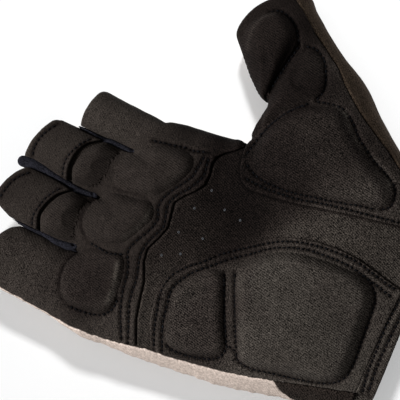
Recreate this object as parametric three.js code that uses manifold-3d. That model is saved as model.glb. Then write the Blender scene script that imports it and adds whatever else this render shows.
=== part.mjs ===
// Padded half-finger cycling glove for the right hand, lying on its back with the palm up.
// Millimetres. +X is the thumb side, +Y runs to the fingertips, +Z is up, out of the palm.
// The origin lies on the surface under the middle of the palm.

import * as THREE from "three";
import { mergeVertices } from "three/addons/utils/BufferGeometryUtils.js";
import Module from "manifold-3d";

const wasm = await Module();
wasm.setup();

// Driving sizes
const palm_width = 92;
const palm_length = 130;
const side_height = 11;
const palm_depth = 14;
const back_depth = 12.5;
const finger_depth = 9.6;
const thumb_depth = 14;
const thumb_length = 100;
const thumb_width = 35;
const thumb_heading = 40;
const index_width = 16.4;
const middle_width = 21.8;
const ring_width = 21.8;
const little_width = 25.2;
const index_length = 24.5;
const middle_length = 38.5;
const ring_length = 42.5;
const little_length = 33.5;
const skin_wall = 1.2;
const panel_wall = 1.2;
const loop_wall = 1.4;
const hem_wall = 2;
const hem_width = 8;
const pad_crown = 4.6;
const finger_pad_crown = 2.6;
const thumb_pad_crown = 4;
const gap = 0.3;
const finger_gap = 0.6;
const web_seam_above = 6;
const web_seam_below = 4;
const web_reach = 3.4;

// Where the origin and the thumb's root lie, as shares of the palm
const origin_along = 0.492;
const thumb_root = { across: 0.36, along: 0.165 };

// How full the sections are: 2 is an ellipse, and more is boxier
const fullness = 2.3;
const overrun = 9;
const far = 3 * palm_length;

// The palm's sections: side edges as shares of palm_width, height as a share of palm_depth
const palm_sections = [
  { along: -0.08, ulnar: -0.345, radial: 0.56, height: 0.62 },
  { along: 0, ulnar: -0.345, radial: 0.56, height: 0.66 },
  { along: 0.108, ulnar: -0.364, radial: 0.61, height: 0.78 },
  { along: 0.208, ulnar: -0.386, radial: 0.68, height: 0.92 },
  { along: 0.338, ulnar: -0.429, radial: 0.69, height: 1 },
  { along: 0.46, ulnar: -0.463, radial: 0.7, height: 0.97 },
  { along: 0.585, ulnar: -0.486, radial: 0.66, height: 0.93 },
  { along: 0.646, ulnar: -0.5, radial: 0.6, height: 0.93 },
  { along: 0.7, ulnar: -0.508, radial: 0.51, height: 0.95 },
  { along: 0.762, ulnar: -0.508, radial: 0.492, height: 0.97 },
  { along: 0.838, ulnar: -0.502, radial: 0.476, height: 0.96 },
  { along: 0.915, ulnar: -0.494, radial: 0.45, height: 0.86 },
  { along: 0.985, ulnar: -0.486, radial: 0.446, height: 0.62 },
];

// Mounds and hollows of the palm: place and radii as shares of the palm, rise of palm_depth
const palm_mounds = [
  { across: -0.22, along: 0.26, wide: 0.36, long: 0.26, rise: 0.2 },
  { across: 0.57, along: 0.42, wide: 0.3, long: 0.3, rise: 0.26 },
  { across: 0.17, along: 0.54, wide: 0.24, long: 0.2, rise: -0.3 },
  { across: 0.24, along: 0.12, wide: 0.16, long: 0.2, rise: -0.14 },
];

// The fingers: centre as a share of palm_width, and how far each rim falls back at its corners
const fingers = [
  { name: "index", centre: 0.374, width: index_width, length: index_length, ulnar_fall: 0.5, radial_fall: 4 },
  { name: "middle", centre: 0.165, width: middle_width, length: middle_length, ulnar_fall: 0.5, radial_fall: 5 },
  { name: "ring", centre: -0.082, width: ring_width, length: ring_length, ulnar_fall: 12, radial_fall: 5.5 },
  { name: "little", centre: -0.353, width: little_width, length: little_length, ulnar_fall: 7, radial_fall: 4.6 },
];
const crotch_along = 0.985;
const finger_root_along = 0.84;
const finger_sections = [
  { share: 0, height: 0.86 },
  { share: 0.35, height: 0.98 },
  { share: 0.7, height: 1 },
  { share: 1, height: 0.96 },
];

// The thumb's sections: half widths as shares of thumb_width, height as a share of thumb_depth
const thumb_sections = [
  { share: 0, inner: 0.26, outer: 0.46, height: 0.6 },
  { share: 0.15, inner: 0.4, outer: 0.57, height: 0.86 },
  { share: 0.3, inner: 0.5, outer: 0.6, height: 1.04 },
  { share: 0.45, inner: 0.52, outer: 0.6, height: 1.1 },
  { share: 0.6, inner: 0.5, outer: 0.595, height: 1.06 },
  { share: 0.75, inner: 0.475, outer: 0.49, height: 0.98 },
  { share: 0.88, inner: 0.47, outer: 0.455, height: 0.92 },
  { share: 1, inner: 0.45, outer: 0.435, height: 0.84 },
];
const thumb_rim_bulge = 6;
const thumb_rim_fall = 2.5;
const thumb_fold = { share: 0.8, long: 0.09, depth: 0.2 };

// Outlines seen from above. A row's place is in shares of the palm, and bulge bends the edge
// that leads on to the next row, in half chords, to the left of the way along it.
const palm_outline = [
  { across: -0.6, along: 1.4, bulge: 0 },
  { across: -0.6, along: 0.86, bulge: 0 },
  { across: -0.505, along: 0.78, bulge: -0.03 },
  { across: -0.45, along: 0.59, bulge: 0 },
  { across: -0.4, along: 0.42, bulge: 0.03 },
  { across: -0.22, along: -0.01, bulge: 0 },
  { across: -0.2, along: -0.2, bulge: 0 },
  { across: 0.4, along: -0.2, bulge: 0 },
  { across: 0.5, along: 0, bulge: 0.04 },
  { across: 0.8, along: 0.36, bulge: -0.06 },
  { across: 1.03, along: 0.55, bulge: 0.04 },
  { across: 1.19, along: 0.74, bulge: 0 },
  { across: 1.35, along: 1.4, bulge: 0 },
];
const brown_outline = [
  { across: 0.48, along: -0.3, bulge: 0 },
  { across: 1.6, along: 0, bulge: 0 },
  { across: 1.6, along: 1.02, bulge: 0 },
  { across: 0.62, along: 0.68, bulge: 0 },
  { across: 0.48, along: 0.4, bulge: 0 },
];
const wrist_outline = [
  { across: -0.8, along: -0.3, bulge: 0 },
  { across: 0.48, along: -0.3, bulge: 0 },
  { across: 0.48, along: 0.31, bulge: 0 },
  { across: -0.1, along: 0.33, bulge: 0.06 },
  { across: -0.8, along: 0.26, bulge: 0 },
];
const knuckle_outline = [
  { across: 0.56, along: 0.63, bulge: 0 },
  { across: 0.56, along: 0.99, bulge: 0 },
  { across: 0.38, along: 1.3, bulge: 0 },
  { across: 0.274, along: 1.3, bulge: 0 },
  { across: 0.274, along: 1.09, bulge: 0 },
  { across: 0.16, along: 1.135, bulge: 0 },
  { across: 0.04, along: 1.1, bulge: 0 },
  { across: 0.03, along: 1.13, bulge: 0 },
  { across: -0.1, along: 1.155, bulge: 0 },
  { across: -0.208, along: 1.1, bulge: 0 },
  { across: -0.208, along: 1.35, bulge: 0 },
  { across: -0.6, along: 1.35, bulge: 0 },
  { across: -0.6, along: 0.68, bulge: 0 },
  { across: -0.44, along: 0.7, bulge: 0.04 },
  { across: -0.063, along: 0.783, bulge: -0.34 },
  { across: 0.161, along: 0.766, bulge: -0.4 },
  { across: 0.393, along: 0.724, bulge: -0.1 },
];
const heel_outline = [
  { across: -0.6, along: 0.63, bulge: 0 },
  { across: -0.6, along: -0.3, bulge: 0 },
  { across: 0.22, along: -0.3, bulge: 0 },
  { across: 0.22, along: 0, bulge: -0.05 },
  { across: 0.275, along: 0.27, bulge: -0.2 },
  { across: 0.1, along: 0.575, bulge: 0.02 },
  { across: -0.1, along: 0.7, bulge: -0.24 },
  { across: -0.24, along: 0.71, bulge: 0.02 },
  { across: -0.44, along: 0.655, bulge: 0 },
];
const thumb_outline = [
  { across: 0.5, along: -0.3, bulge: 0 },
  { across: 2, along: -0.3, bulge: 0 },
  { across: 2, along: 1.6, bulge: 0 },
  { across: 0.85, along: 1.2, bulge: 0 },
  { across: 0.53, along: 0.66, bulge: 0.2 },
  { across: 0.352, along: 0.59, bulge: 0.16 },
  { across: 0.4, along: 0.33, bulge: 0 },
  { across: 0.475, along: 0, bulge: 0 },
];

// Pads: the edge of each as a closed soft curve through a few places. Those of the palm have
// their places in shares of the palm, and those of the thumb in shares of the thumb, out from
// its root and to the side of its axis.
const pads = [
  {
    name: "heel_pad_large",
    crown: pad_crown,
    edge: [
      { across: -0.28, along: 0.407 }, { across: -0.133, along: 0.46 }, { across: 0.005, along: 0.504 },
      { across: 0.087, along: 0.484 }, { across: 0.159, along: 0.416 }, { across: 0.202, along: 0.3 },
      { across: 0.21, along: 0.181 }, { across: 0.152, along: 0.113 }, { across: -0.018, along: 0.096 },
      { across: -0.172, along: 0.094 }, { across: -0.238, along: 0.14 }, { across: -0.288, along: 0.261 },
    ],
  },
  {
    name: "heel_pad_small",
    crown: pad_crown,
    edge: [
      { across: -0.384, along: 0.611 }, { across: -0.315, along: 0.633 }, { across: -0.204, along: 0.654 },
      { across: -0.109, along: 0.633 }, { across: -0.033, along: 0.587 }, { across: -0.027, along: 0.545 },
      { across: -0.08, along: 0.521 }, { across: -0.233, along: 0.472 }, { across: -0.304, along: 0.448 },
      { across: -0.35, along: 0.469 }, { across: -0.382, along: 0.534 },
    ],
  },
  {
    name: "knuckle_pad_index",
    crown: pad_crown,
    edge: [
      { across: 0.32, along: 0.929 }, { across: 0.364, along: 0.869 }, { across: 0.379, along: 0.812 },
      { across: 0.352, along: 0.774 }, { across: 0.288, along: 0.771 }, { across: 0.205, along: 0.805 },
      { across: 0.15, along: 0.84 }, { across: 0.128, along: 0.892 }, { across: 0.122, along: 0.954 },
      { across: 0.158, along: 0.989 }, { across: 0.224, along: 0.99 },
    ],
  },
  {
    name: "knuckle_pad_ring",
    crown: pad_crown,
    edge: [
      { across: 0.038, along: 1.008 }, { across: 0.08, along: 0.968 }, { across: 0.095, along: 0.919 },
      { across: 0.103, along: 0.873 }, { across: 0.112, along: 0.838 }, { across: 0.098, along: 0.812 },
      { across: 0.054, along: 0.809 }, { across: -0.002, along: 0.829 }, { across: -0.083, along: 0.86 },
      { across: -0.12, along: 0.908 }, { across: -0.126, along: 0.974 }, { across: -0.092, along: 1.007 },
      { across: -0.033, along: 1.018 },
    ],
  },
  {
    name: "knuckle_pad_little",
    crown: pad_crown,
    edge: [
      { across: -0.236, along: 1.002 }, { across: -0.179, along: 0.962 }, { across: -0.146, along: 0.9 },
      { across: -0.141, along: 0.848 }, { across: -0.185, along: 0.823 }, { across: -0.283, along: 0.814 },
      { across: -0.37, along: 0.823 }, { across: -0.404, along: 0.869 }, { across: -0.415, along: 0.931 },
      { across: -0.375, along: 0.985 }, { across: -0.293, along: 1.008 },
    ],
  },
  {
    name: "finger_pad_middle",
    crown: finger_pad_crown,
    edge: [
      { across: 0.07, along: 1.085 }, { across: 0.141, along: 1.098 }, { across: 0.212, along: 1.075 },
      { across: 0.244, along: 1.055 }, { across: 0.243, along: 1.022 }, { across: 0.174, along: 1.017 },
      { across: 0.098, along: 1.022 }, { across: 0.072, along: 1.046 },
    ],
  },
  {
    name: "finger_pad_ring",
    crown: finger_pad_crown,
    edge: [
      { across: -0.172, along: 1.098 }, { across: -0.109, along: 1.12 }, { across: -0.033, along: 1.106 },
      { across: 0.005, along: 1.08 }, { across: 0.004, along: 1.046 }, { across: -0.054, along: 1.031 },
      { across: -0.13, along: 1.02 }, { across: -0.166, along: 1.042 }, { across: -0.178, along: 1.075 },
    ],
  },
  {
    name: "thenar_pad",
    crown: pad_crown,
    edge: [
      { across: 0.522, along: 0.618 }, { across: 0.625, along: 0.595 }, { across: 0.717, along: 0.549 },
      { across: 0.775, along: 0.477 }, { across: 0.78, along: 0.415 }, { across: 0.721, along: 0.354 },
      { across: 0.651, along: 0.276 }, { across: 0.598, along: 0.222 }, { across: 0.54, along: 0.2 },
      { across: 0.489, along: 0.228 }, { across: 0.458, along: 0.315 }, { across: 0.421, along: 0.434 },
      { across: 0.411, along: 0.515 }, { across: 0.44, along: 0.588 },
    ],
  },
  {
    name: "thumb_pad_mid",
    crown: thumb_pad_crown,
    edge: [
      { out: 0.788, side: 0.146 }, { out: 0.778, side: 0.250 }, { out: 0.733, side: 0.284 },
      { out: 0.665, side: 0.246 }, { out: 0.619, side: 0.136 }, { out: 0.610, side: -0.045 },
      { out: 0.620, side: -0.333 }, { out: 0.617, side: -0.518 }, { out: 0.658, side: -0.446 },
      { out: 0.717, side: -0.268 }, { out: 0.759, side: -0.069 },
    ],
  },
  {
    name: "thumb_pad_tip",
    crown: thumb_pad_crown,
    edge: [
      { out: 0.931, side: -0.327 }, { out: 0.974, side: -0.178 }, { out: 0.990, side: -0.022 },
      { out: 0.962, side: 0.096 }, { out: 0.900, side: 0.158 }, { out: 0.853, side: 0.075 },
      { out: 0.795, side: -0.155 }, { out: 0.734, side: -0.388 }, { out: 0.782, side: -0.451 },
      { out: 0.860, side: -0.448 },
    ],
  },
];
const pad_turns = 18;
const pad_rings = [1, 0.93, 0.74, 0.4];

// Pull strips across two of the fingers: root and end as shares of each finger's length
const pull_loops = [
  { name: "middle_pull_loop", finger: 1, root: 0.4, end: 0.94, fill: 0.4 },
  { name: "ring_pull_loop", finger: 2, root: 0.43, end: 0.95, fill: 0.4 },
];

// The webs between the fingers, each between two neighbours in the finger table
const webs = [
  { name: "web_index_middle", radial: 0, ulnar: 1 },
  { name: "web_middle_ring", radial: 1, ulnar: 2 },
  { name: "web_ring_little", radial: 2, ulnar: 3 },
];

const colours = {
  palm: 0x1b1714,
  panel: 0x35302c,
  pad: 0x3a3531,
  trim: 0x1b1a20,
  cream: 0xc7b9b0,
  brown: 0x2b241f,
  dark: 0x231c19,
};

const origin_y = -origin_along * palm_length;
const degrees = Math.PI / 180;

function planX(across) {
  return across * palm_width;
}

function planY(along) {
  return origin_y + along * palm_length;
}

// A smooth value from a table, between the rows on either side of the share
function tableValue(rows, keyName, column, share) {
  const last = rows.length - 1;
  if (share <= rows[0][keyName]) return rows[0][column];
  if (share >= rows[last][keyName]) return rows[last][column];
  let i = 0;
  while (rows[i + 1][keyName] < share) i += 1;
  const slope = (a, b) => (rows[b][column] - rows[a][column]) / (rows[b][keyName] - rows[a][keyName]);
  const span = rows[i + 1][keyName] - rows[i][keyName];
  const startSlope = slope(Math.max(i - 1, 0), i + 1) * span;
  const endSlope = slope(i, Math.min(i + 2, last)) * span;
  const t = (share - rows[i][keyName]) / span;
  const start = rows[i][column];
  const end = rows[i + 1][column];
  return start * (2 * t ** 3 - 3 * t ** 2 + 1) + startSlope * (t ** 3 - 2 * t ** 2 + t)
    + end * (3 * t ** 2 - 2 * t ** 3) + endSlope * (t ** 3 - t ** 2);
}

// How much the palm rises or sinks at a place, as a share of palm_depth
function palmRelief(x, y) {
  let rise = 0;
  for (const mound of palm_mounds) {
    const dx = (x - planX(mound.across)) / (mound.wide * palm_width);
    const dy = (y - planY(mound.along)) / (mound.long * palm_length);
    const fade = Math.max(0, 1 - dx * dx - dy * dy);
    rise += mound.rise * fade * fade;
  }
  return rise;
}

// Each limb is a row of sections across an axis: its half widths and its height above the side
function palmSection(share) {
  return {
    inner: -planX(tableValue(palm_sections, "along", "ulnar", share)) - skin_wall,
    outer: planX(tableValue(palm_sections, "along", "radial", share)) - skin_wall,
    height: palm_depth * tableValue(palm_sections, "along", "height", share),
  };
}

function thumbSection(share) {
  const fromFold = (share - thumb_fold.share) / thumb_fold.long;
  const fold = thumb_fold.depth * Math.exp(-fromFold * fromFold);
  return {
    inner: thumb_width * tableValue(thumb_sections, "share", "inner", share) - skin_wall,
    outer: thumb_width * tableValue(thumb_sections, "share", "outer", share) - skin_wall,
    height: thumb_depth * (tableValue(thumb_sections, "share", "height", share) - fold),
  };
}

function fingerSection(finger, share) {
  const half = (finger.width - finger_gap) / 2 - skin_wall;
  return { inner: half, outer: half, height: finger_depth * tableValue(finger_sections, "share", "height", share) };
}

const thumb_axis = new THREE.Vector2(Math.sin(thumb_heading * degrees), Math.cos(thumb_heading * degrees));

const palm_limb = {
  origin: new THREE.Vector2(0, origin_y),
  axis: new THREE.Vector2(0, 1),
  length: palm_length,
  section: palmSection,
  relief: palmRelief,
  turns: 32,
  stations: [-0.08, 0.1, 0.18, 0.26, 0.34, 0.42, 0.5, 0.57, 0.63, 0.68, 0.74, 0.81, 0.88, 0.94, crotch_along],
  end_grows: true,
};
const thumb_limb = {
  origin: new THREE.Vector2(planX(thumb_root.across), planY(thumb_root.along)),
  axis: thumb_axis,
  length: thumb_length,
  section: thumbSection,
  relief: () => 0,
  turns: 18,
  stations: [0, 0.15, 0.3, 0.45, 0.58, 0.68, 0.74, 0.8, 0.86, 0.93, 1 + 2 * overrun / thumb_length],
  end_grows: false,
};

function fingerLimb(finger) {
  const root = planY(finger_root_along);
  const length = planY(crotch_along) + finger.length - root;
  return {
    origin: new THREE.Vector2(planX(finger.centre), root),
    axis: new THREE.Vector2(0, 1),
    length,
    section: (share) => fingerSection(finger, share),
    relief: () => 0,
    turns: 16,
    stations: [0, 0.3, 0.65, 1 + overrun / length],
    end_grows: false,
  };
}

const finger_limbs = fingers.map(fingerLimb);
const limbs = [palm_limb, thumb_limb, ...finger_limbs];

function limbPlace(limb, along, side) {
  return {
    x: limb.origin.x + limb.axis.x * along + limb.axis.y * side,
    y: limb.origin.y + limb.axis.y * along - limb.axis.x * side,
  };
}

// Height of the limb's palm side over the side line, for a layer that lies grow outside the hand
function limbHeight(limb, section, x, y, grow) {
  return section.height + palm_depth * limb.relief(x, y) + grow;
}

// One ring of a limb at a station. The back is flattened where it rests on the surface.
function limbRing(limb, share, grow, floor) {
  const section = limb.section(share);
  const centre = (section.outer - section.inner) / 2;
  const half = (section.outer + section.inner) / 2 + grow;
  const last = share === limb.stations[limb.stations.length - 1];
  const along = share * limb.length + (last && limb.end_grows ? grow : 0);
  const ring = [];
  for (let i = 0; i < limb.turns; i += 1) {
    const angle = 2 * Math.PI * (i + 0.5) / limb.turns;
    const across = Math.sign(Math.cos(angle)) * Math.abs(Math.cos(angle)) ** (2 / fullness);
    const rise = Math.abs(Math.sin(angle)) ** (2 / fullness);
    const place = limbPlace(limb, along, centre + half * across);
    const up = limbHeight(limb, section, place.x, place.y, grow) * rise;
    const down = (back_depth + grow) * rise;
    const z = Math.sin(angle) > 0 ? side_height + up : Math.max(side_height - down, floor);
    ring.push([place.x, place.y, z]);
  }
  return ring;
}

// A closed solid from its vertices and triangles
function solid(vertices, triangles) {
  const geometry = new THREE.BufferGeometry();
  geometry.setAttribute("position", new THREE.Float32BufferAttribute(vertices.flat(), 3));
  geometry.setIndex(triangles.flat());
  return solidFromGeometry(geometry);
}

function solidFromGeometry(source) {
  const geometry = source.clone();
  geometry.deleteAttribute("normal");
  geometry.deleteAttribute("uv");
  const merged = mergeVertices(geometry, 1e-4);
  const mesh = new wasm.Mesh({
    numProp: 3,
    vertProperties: new Float32Array(merged.attributes.position.array),
    triVerts: new Uint32Array(merged.index.array),
  });
  return new wasm.Manifold(mesh);
}

// Rings joined side to side, with a fan over each end
function loft(rings) {
  const turns = rings[0].length;
  const vertices = rings.flat();
  const triangles = [];
  for (let r = 0; r + 1 < rings.length; r += 1) {
    for (let i = 0; i < turns; i += 1) {
      const a = r * turns + i;
      const b = r * turns + (i + 1) % turns;
      triangles.push([a, a + turns, b + turns], [a, b + turns, b]);
    }
  }
  for (const end of [0, rings.length - 1]) {
    const middle = [0, 1, 2].map((k) => rings[end].reduce((sum, p) => sum + p[k], 0) / turns);
    const hub = vertices.push(middle) - 1;
    for (let i = 0; i < turns; i += 1) {
      const a = end * turns + i;
      const b = end * turns + (i + 1) % turns;
      triangles.push(end === 0 ? [hub, a, b] : [hub, b, a]);
    }
  }
  return solid(vertices, triangles);
}

// The whole hand form, grown outward from the hollow by the thickness of what lies inside
function handForm(grow) {
  const floor = skin_wall - grow;
  return limbs
    .map((limb) => loft(limb.stations.map((share) => limbRing(limb, share, grow, floor))))
    .reduce((sum, part) => sum.add(part));
}

// Points along the edge from one place to the next, bent by the bulge
function bentEdge(start, end, bulge) {
  const steps = bulge === 0 ? 1 : 6;
  const points = [];
  for (let i = 0; i < steps; i += 1) {
    const t = i / steps;
    const lift = 2 * bulge * t * (1 - t);
    points.push(new THREE.Vector2(
      start.x + (end.x - start.x) * t - (end.y - start.y) * lift,
      start.y + (end.y - start.y) * t + (end.x - start.x) * lift,
    ));
  }
  return points;
}

function outlinePoints(rows) {
  const places = rows.map((row) => new THREE.Vector2(planX(row.across), planY(row.along)));
  return rows.flatMap((row, i) => bentEdge(places[i], places[(i + 1) % rows.length], row.bulge));
}

// A block with a plan outline, from one height to another
function prism(points, low, high) {
  const shape = new THREE.Shape(points);
  const geometry = new THREE.ExtrudeGeometry(shape, { depth: high - low, bevelEnabled: false });
  geometry.translate(0, 0, low);
  return solidFromGeometry(geometry);
}

// The far side of a limb's rim, as a block that cuts the limb off along a bowed line
function rimCutter(limb, end, bulge, ulnarFall, radialFall) {
  const half = limb.section(1).outer + skin_wall + 2 * panel_wall;
  const line = [];
  const steps = 10;
  for (let i = 0; i <= steps; i += 1) {
    const side = 2 * i / steps - 1;
    const fall = side < 0 ? ulnarFall * Math.abs(side) ** 3 : radialFall * side ** 3;
    const along = end + bulge * (1 - side * side) - fall;
    line.push(limbPlace(limb, along, side * half));
  }
  const points = [
    ...line,
    limbPlace(limb, end + 3 * overrun, half),
    limbPlace(limb, end + 3 * overrun, -half),
  ];
  return prism(points.map((p) => new THREE.Vector2(p.x, p.y)), -far, far);
}

const rim_cutters = fingers
  .map((finger, i) => rimCutter(finger_limbs[i], finger_limbs[i].length, 0, finger.ulnar_fall, finger.radial_fall))
  .concat([rimCutter(thumb_limb, thumb_length, thumb_rim_bulge, 0, thumb_rim_fall)])
  .reduce((sum, part) => sum.add(part));

function boxSolid(low, high) {
  const size = new THREE.Vector3().subVectors(high, low);
  const geometry = new THREE.BoxGeometry(size.x, size.y, size.z);
  geometry.translate((low.x + high.x) / 2, (low.y + high.y) / 2, (low.z + high.z) / 2);
  return solidFromGeometry(geometry);
}

const wrist_cutter = boxSolid(
  new THREE.Vector3(-far, origin_y - far, -far),
  new THREE.Vector3(far, origin_y, far),
);
const ends = rim_cutters.add(wrist_cutter);

// A layer of cloth from one distance outside the hand to another, open at the rims
function layer(from, to) {
  return handForm(to).subtract(handForm(from)).subtract(ends);
}

function above(height) {
  return boxSolid(new THREE.Vector3(-far, -far, height), new THREE.Vector3(far, far, far));
}

const skin = layer(0, skin_wall);
const panel_start = skin_wall + gap;
const panel_end = panel_start + panel_wall;
const panels = layer(panel_start, panel_end).intersect(above(side_height + gap));
const pad_base = handForm(panel_end + gap);

// The strip between two fingers: the side walls of both, joined where the fingers part
function webBlock(web, spread) {
  const radial = fingers[web.radial];
  const ulnar = fingers[web.ulnar];
  const middle = (planX(radial.centre) - radial.width / 2 + planX(ulnar.centre) + ulnar.width / 2) / 2;
  const half = web_reach + spread;
  const start = planY(crotch_along) - web_reach - spread;
  const low = side_height - web_seam_below - spread;
  const high = side_height + web_seam_above + spread;
  return boxSolid(new THREE.Vector3(middle - half, start, low), new THREE.Vector3(middle + half, far, high));
}

const web_space = webs.map((web) => webBlock(web, gap)).reduce((sum, part) => sum.add(part));
const palm_side = prism(outlinePoints(palm_outline), side_height + gap / 2, far);
const palm_side_clear = prism(outlinePoints(palm_outline), side_height - gap / 2, far);
const brown_side = prism(outlinePoints(brown_outline), -far, far);
const wrist_side = prism(outlinePoints(wrist_outline), -far, far);

function shrunkCopy(points, inset) {
  const count = points.length;
  return points.map((point, i) => {
    const before = points[(i + count - 1) % count];
    const after = points[(i + 1) % count];
    const way = new THREE.Vector2().subVectors(after, before).normalize();
    return new THREE.Vector2(point.x - way.y * inset, point.y + way.x * inset);
  });
}

function grownPrism(rows, low, high) {
  return prism(shrunkCopy(outlinePoints(rows), -gap), low, high);
}

// The largest body of a solid that a cut has left in several
function largest(part) {
  return part.decompose().reduce((best, body) => (body.volume() > best.volume() ? body : best));
}

function padPlace(row) {
  if (row.out === undefined) return new THREE.Vector3(planX(row.across), planY(row.along), 0);
  const place = limbPlace(thumb_limb, row.out * thumb_length, row.side * thumb_width);
  return new THREE.Vector3(place.x, place.y, 0);
}

// A pad's domed block: a soft outline with rings that rise to its crown
function padBlock(pad) {
  const places = pad.edge.map(padPlace);
  const outline = new THREE.CatmullRomCurve3(places, true, "centripetal").getSpacedPoints(pad_turns).slice(0, -1);
  const hub = outline.reduce((sum, p) => sum.add(p), new THREE.Vector3()).divideScalar(pad_turns);
  const vertices = [];
  const triangles = [];
  outline.forEach((p) => vertices.push([p.x, p.y, side_height]));
  for (const share of pad_rings) {
    const crown = pad.crown * (1 - share ** 3.2) + gap;
    for (const p of outline) {
      const x = hub.x + (p.x - hub.x) * share;
      const y = hub.y + (p.y - hub.y) * share;
      vertices.push([x, y, surfaceHeight(x, y, panel_end + gap) + crown]);
    }
  }
  const rings = pad_rings.length + 1;
  for (let r = 0; r + 1 < rings; r += 1) {
    for (let i = 0; i < pad_turns; i += 1) {
      const a = r * pad_turns + i;
      const b = r * pad_turns + (i + 1) % pad_turns;
      triangles.push([a, b + pad_turns, a + pad_turns], [a, b, b + pad_turns]);
    }
  }
  const top = vertices.push([hub.x, hub.y, surfaceHeight(hub.x, hub.y, panel_end + gap) + pad.crown + gap]) - 1;
  const bottom = vertices.push([hub.x, hub.y, side_height]) - 1;
  for (let i = 0; i < pad_turns; i += 1) {
    const next = (i + 1) % pad_turns;
    triangles.push([bottom, next, i]);
    triangles.push([(rings - 1) * pad_turns + i, (rings - 1) * pad_turns + next, top]);
  }
  const block = solid(vertices, triangles);
  return block.volume() > 0 ? block : solid(vertices, triangles.map(([a, b, c]) => [a, c, b]));
}

// Height of the palm side of the glove at a place, for a layer grow outside the hand
function surfaceHeight(x, y, grow) {
  let best = side_height;
  for (const limb of limbs) {
    const dx = x - limb.origin.x;
    const dy = y - limb.origin.y;
    const along = dx * limb.axis.x + dy * limb.axis.y;
    const side = dx * limb.axis.y - dy * limb.axis.x;
    const share = Math.min(along / limb.length, limb.stations[limb.stations.length - 1]);
    if (share < limb.stations[0] || along / limb.length > share) continue;
    const section = limb.section(share);
    const centre = (section.outer - section.inner) / 2;
    const half = (section.outer + section.inner) / 2 + grow;
    const u = Math.abs(side - centre) / half;
    if (u >= 1) continue;
    const rise = (1 - u ** fullness) ** (1 / fullness);
    best = Math.max(best, side_height + limbHeight(limb, section, x, y, grow) * rise);
  }
  return best;
}

// The strip that a finger of the rider's other hand pulls: it lies across the finger's palm side
function loopBlock(row, spread) {
  const finger = fingers[row.finger];
  const crotch = planY(crotch_along);
  const centre = planX(finger.centre);
  const half = row.fill * finger.width + spread;
  const start = crotch + row.root * finger.length - spread;
  const end = crotch + row.end * finger.length + spread;
  return boxSolid(new THREE.Vector3(centre - half, start, side_height), new THREE.Vector3(centre + half, end, far));
}

const group = new THREE.Group();

function addPiece(name, part, colour) {
  const mesh = part.getMesh();
  const geometry = new THREE.BufferGeometry();
  geometry.setAttribute("position", new THREE.BufferAttribute(new Float32Array(mesh.vertProperties), 3));
  geometry.setIndex(new THREE.BufferAttribute(new Uint32Array(mesh.triVerts), 1));
  geometry.computeVertexNormals();
  const material = new THREE.MeshStandardMaterial({ color: colour, roughness: 0.9, metalness: 0 });
  const piece = new THREE.Mesh(geometry, material);
  piece.name = name;
  group.add(piece);
}

// Hem round the wrist: the cloth folded double
const hem_end = origin_y + hem_width;
const hem_side = boxSolid(new THREE.Vector3(-far, origin_y - gap, -far), new THREE.Vector3(far, hem_end, far));
const hem_clear = boxSolid(new THREE.Vector3(-far, origin_y - far, -far), new THREE.Vector3(far, hem_end + gap, far));
addPiece("cuff_hem", largest(layer(skin_wall - hem_wall, skin_wall).intersect(hem_side)), colours.dark);

// Skin pieces
const skin_parts = skin.subtract(web_space).subtract(hem_clear);
addPiece("palm_base", largest(skin_parts.intersect(palm_side)), colours.palm);
const back = skin_parts.subtract(palm_side_clear);
addPiece("wrist_back", largest(back.intersect(wrist_side)), colours.dark);
const wrist_clear = grownPrism(wrist_outline, -far, far);
addPiece("thumb_back", largest(back.intersect(brown_side).subtract(wrist_clear)), colours.brown);
const brown_clear = grownPrism(brown_outline, -far, far);
addPiece("back_panel", largest(back.subtract(wrist_clear).subtract(brown_clear)), colours.cream);
for (const web of webs) {
  addPiece(web.name, largest(skin.intersect(webBlock(web, 0))), colours.trim);
}

// Sewn-on panels, each cut back from the ones before it
const panel_limit = prism(shrunkCopy(outlinePoints(palm_outline), gap), -far, far);
const loop_room = pull_loops.map((row) => loopBlock(row, gap)).reduce((sum, part) => sum.add(part));
let panel_room = panels.intersect(panel_limit).subtract(hem_clear).subtract(loop_room);
for (const [name, rows] of [
  ["thumb_panel", thumb_outline],
  ["knuckle_panel", knuckle_outline],
  ["heel_panel", heel_outline],
]) {
  addPiece(name, largest(panel_room.intersect(prism(outlinePoints(rows), -far, far))), colours.panel);
  panel_room = panel_room.subtract(grownPrism(rows, -far, far));
}

// Pull strips
const loops = layer(panel_start, panel_start + loop_wall);
for (const row of pull_loops) {
  addPiece(row.name, largest(loops.intersect(loopBlock(row, 0))), colours.panel);
}

// Pads
for (const pad of pads) {
  addPiece(pad.name, largest(padBlock(pad).subtract(pad_base)), colours.pad);
}

export default group;
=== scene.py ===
"""Padded half-finger cycling glove, palm up: the looks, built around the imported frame.

Places and sizes are in millimetres in the part's frame, +X thumb side, +Y fingertips, +Z up,
and become metres where a mesh is made. Every cloth piece is a layer between two distances from
the hollow inside the glove, so that no two pieces can pass through each other.
"""

import functools
import math

import bpy
import numpy as np
from mathutils import Matrix, Vector
from mathutils.bvhtree import BVHTree


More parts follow.
